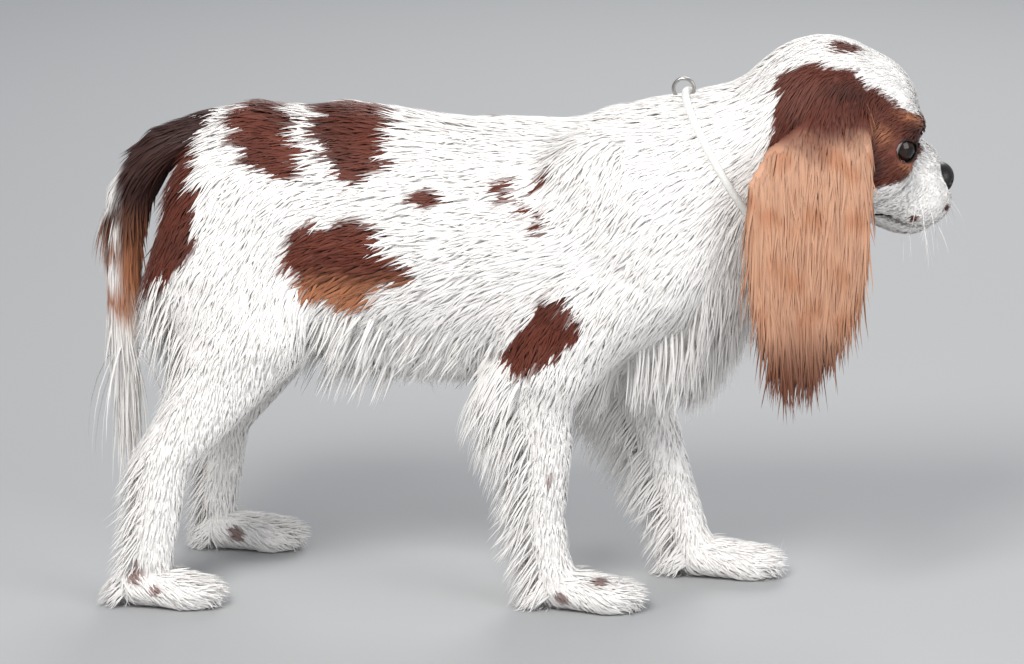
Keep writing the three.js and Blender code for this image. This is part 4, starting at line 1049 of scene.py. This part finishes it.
# Nose: black, moist and finely pebbled skin with two comma-shaped nostrils and a groove between them.
def nose_field(points):
    """An ovoid pad with a groove down its middle, less a round nostril and a slit beside it on each side."""
    value = head_ovoid(NOSE_AT, NOSE_RADII)(points)
    value = carve(value, head_ovoid((47.5, 0, -19), (4, 0.7, 9))(points), 0.8)
    for side in (-1, 1):
        value = carve(value, head_ovoid((46.5, 5.4 * side, -15), (6, 3.0, 2.7))(points), 0.9)
        value = carve(value, head_ovoid((44, 8.6 * side, -17.5), (6, 3.0, 1.3))(points), 0.9)
    return value


def cell_bump():
    """Node group for finely pebbled or braided surfaces: a bump of small cells in object space, with
    their scale, strength and depth as inputs."""
    group = bpy.data.node_groups.new("cell_bump", "ShaderNodeTree")
    for name in ("Scale", "Strength", "Distance"):
        group.interface.new_socket(name, in_out="INPUT", socket_type="NodeSocketFloat")
    group.interface.new_socket("Normal", in_out="OUTPUT", socket_type="NodeSocketVector")
    given, result = group.nodes.new("NodeGroupInput"), group.nodes.new("NodeGroupOutput")
    place = add_node(group, "TexCoord")
    cells = add_node(group, "TexVoronoi", {"Vector": place.outputs["Object"],
                                           "Scale": given.outputs["Scale"]})
    bump = add_node(group, "Bump", {"Height": cells.outputs["Distance"],
                                    "Strength": given.outputs["Strength"],
                                    "Distance": given.outputs["Distance"]})
    fill(group, result, {"Normal": bump.outputs["Normal"]})
    return group


CELL_BUMP = cell_bump()


def celled_finish(name, colour, cells, inputs):
    """A material of one colour with the bump of small cells; cells are its scale, strength and depth."""
    material, tree, surface = new_finish(name)
    bump = add_node(tree, "Group", node_tree=CELL_BUMP)
    fill(tree, bump, dict(zip(("Scale", "Strength", "Distance"), cells)))
    fill(tree, surface, {"Base Color": (*colour, 1), "Normal": bump.outputs["Normal"], **inputs})
    return material


NOSE_FINISH = celled_finish("nose_leather", srgb(24, 18, 17), (1100, 0.35, 0.0003), {
    "Roughness": 0.42, "Specular IOR Level": 0.3, "Coat Weight": 0.2, "Coat Roughness": 0.25})
NOSE_REACH, NOSE_STEP, NOSE_LINES = 15, 0.75, 41
nose_lines = [np.arange(middle - NOSE_REACH, middle + NOSE_REACH + 0.01, NOSE_STEP)[:NOSE_LINES]
              for middle in on_head(NOSE_AT)]
nose_points, nose_quads = surface_net(nose_field, nose_lines)
nose = mesh_object("nose_pad", nose_points, nose_quads, NOSE_FINISH)
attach(nose, "root")
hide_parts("nose")


# Collar: a thin round white cord that closes round the neck in the coat. It is braided, and worn without
# its lead.
TUBE_POINTS = 12


def circle(count):
    """Evenly spaced angles round a circle."""
    return np.arange(count) * 2 * math.pi / count


def ring_tube(middle, outward, along, radius):
    """Closed tube round a plane loop: at each of its points (n, 3), a circle in the plane of outward
    (n, 3) and the loop's axis along."""
    around = TUBE_POINTS
    turn = circle(around)
    out_part, axis_part = np.cos(turn)[:, None] * outward[:, None], np.sin(turn)[:, None] * along
    points = middle[:, None] + radius * (out_part + axis_part)
    n = len(middle)
    a = np.arange(n)[:, None] * around + np.arange(around)
    b = (a // around) * around + (a + 1) % around
    faces = np.stack([a, b, (b + around) % (n * around), (a + around) % (n * around)], -1)
    return points.reshape(-1, 3), faces.reshape(-1, 4)


COLLAR_MIDDLE, COLLAR_WAY = np.array([146.0, 1.0, 276.0]), np.array([0.846, 0.0, 0.533])
COLLAR_RADIUS, COLLAR_DEPTH, COLLAR_POINTS, COLLAR_FAR, HALVINGS = 2.5, 1.5, 180, 130.0, 14
collar_turn = circle(COLLAR_POINTS)
collar_out = np.stack([-COLLAR_WAY[2] * np.sin(collar_turn), np.cos(collar_turn),
                       COLLAR_WAY[0] * np.sin(collar_turn)], 1)
near, far = np.zeros(COLLAR_POINTS), np.full(COLLAR_POINTS, COLLAR_FAR)
for _ in range(HALVINGS):
    half = (near + far) / 2
    at = COLLAR_MIDDLE + collar_out * half[:, None]
    within = blend(TRUNK(at), NECK(at), NECK_FILLET) < BODY_COAT - COLLAR_DEPTH
    near, far = np.where(within, half, near), np.where(within, far, half)
collar_line = COLLAR_MIDDLE + collar_out * near[:, None]
CORD_FINISH = celled_finish("cord_white", (0.82, 0.81, 0.78), (700, 0.5, 0.0004), {"Roughness": 0.6})
collar = mesh_object("collar_cord", *ring_tube(collar_line, collar_out, COLLAR_WAY, COLLAR_RADIUS),
                     CORD_FINISH)
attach(collar, "root")
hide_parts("collar")


# Collar ring: a small steel ring on top of the cord for a lead. It stands on the cord, in line with the
# spine.
RING_RADIUS, RING_TUBE, RING_CLEAR, RING_POINTS, RING_AT = 6.5, 1.2, 0.3, 48, COLLAR_POINTS // 4
STEEL, steel_tree, steel_surface = new_finish("ring_steel")
fill(steel_tree, steel_surface, {"Base Color": (0.42, 0.40, 0.38, 1), "Metallic": 1.0, "Roughness": 0.28})
ring_rise = RING_RADIUS - COLLAR_RADIUS - RING_TUBE - RING_CLEAR
ring_turn = circle(RING_POINTS)
ring_out = np.stack([np.cos(ring_turn), np.zeros(RING_POINTS), np.sin(ring_turn)], 1)
ring_line = collar_line[RING_AT] + collar_out[RING_AT] * ring_rise + RING_RADIUS * ring_out
ring = mesh_object("collar_loop", *ring_tube(ring_line, ring_out, np.array([0.0, 1.0, 0.0]), RING_TUBE),
                   STEEL)
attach(ring, "root")
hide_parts("collar_ring")
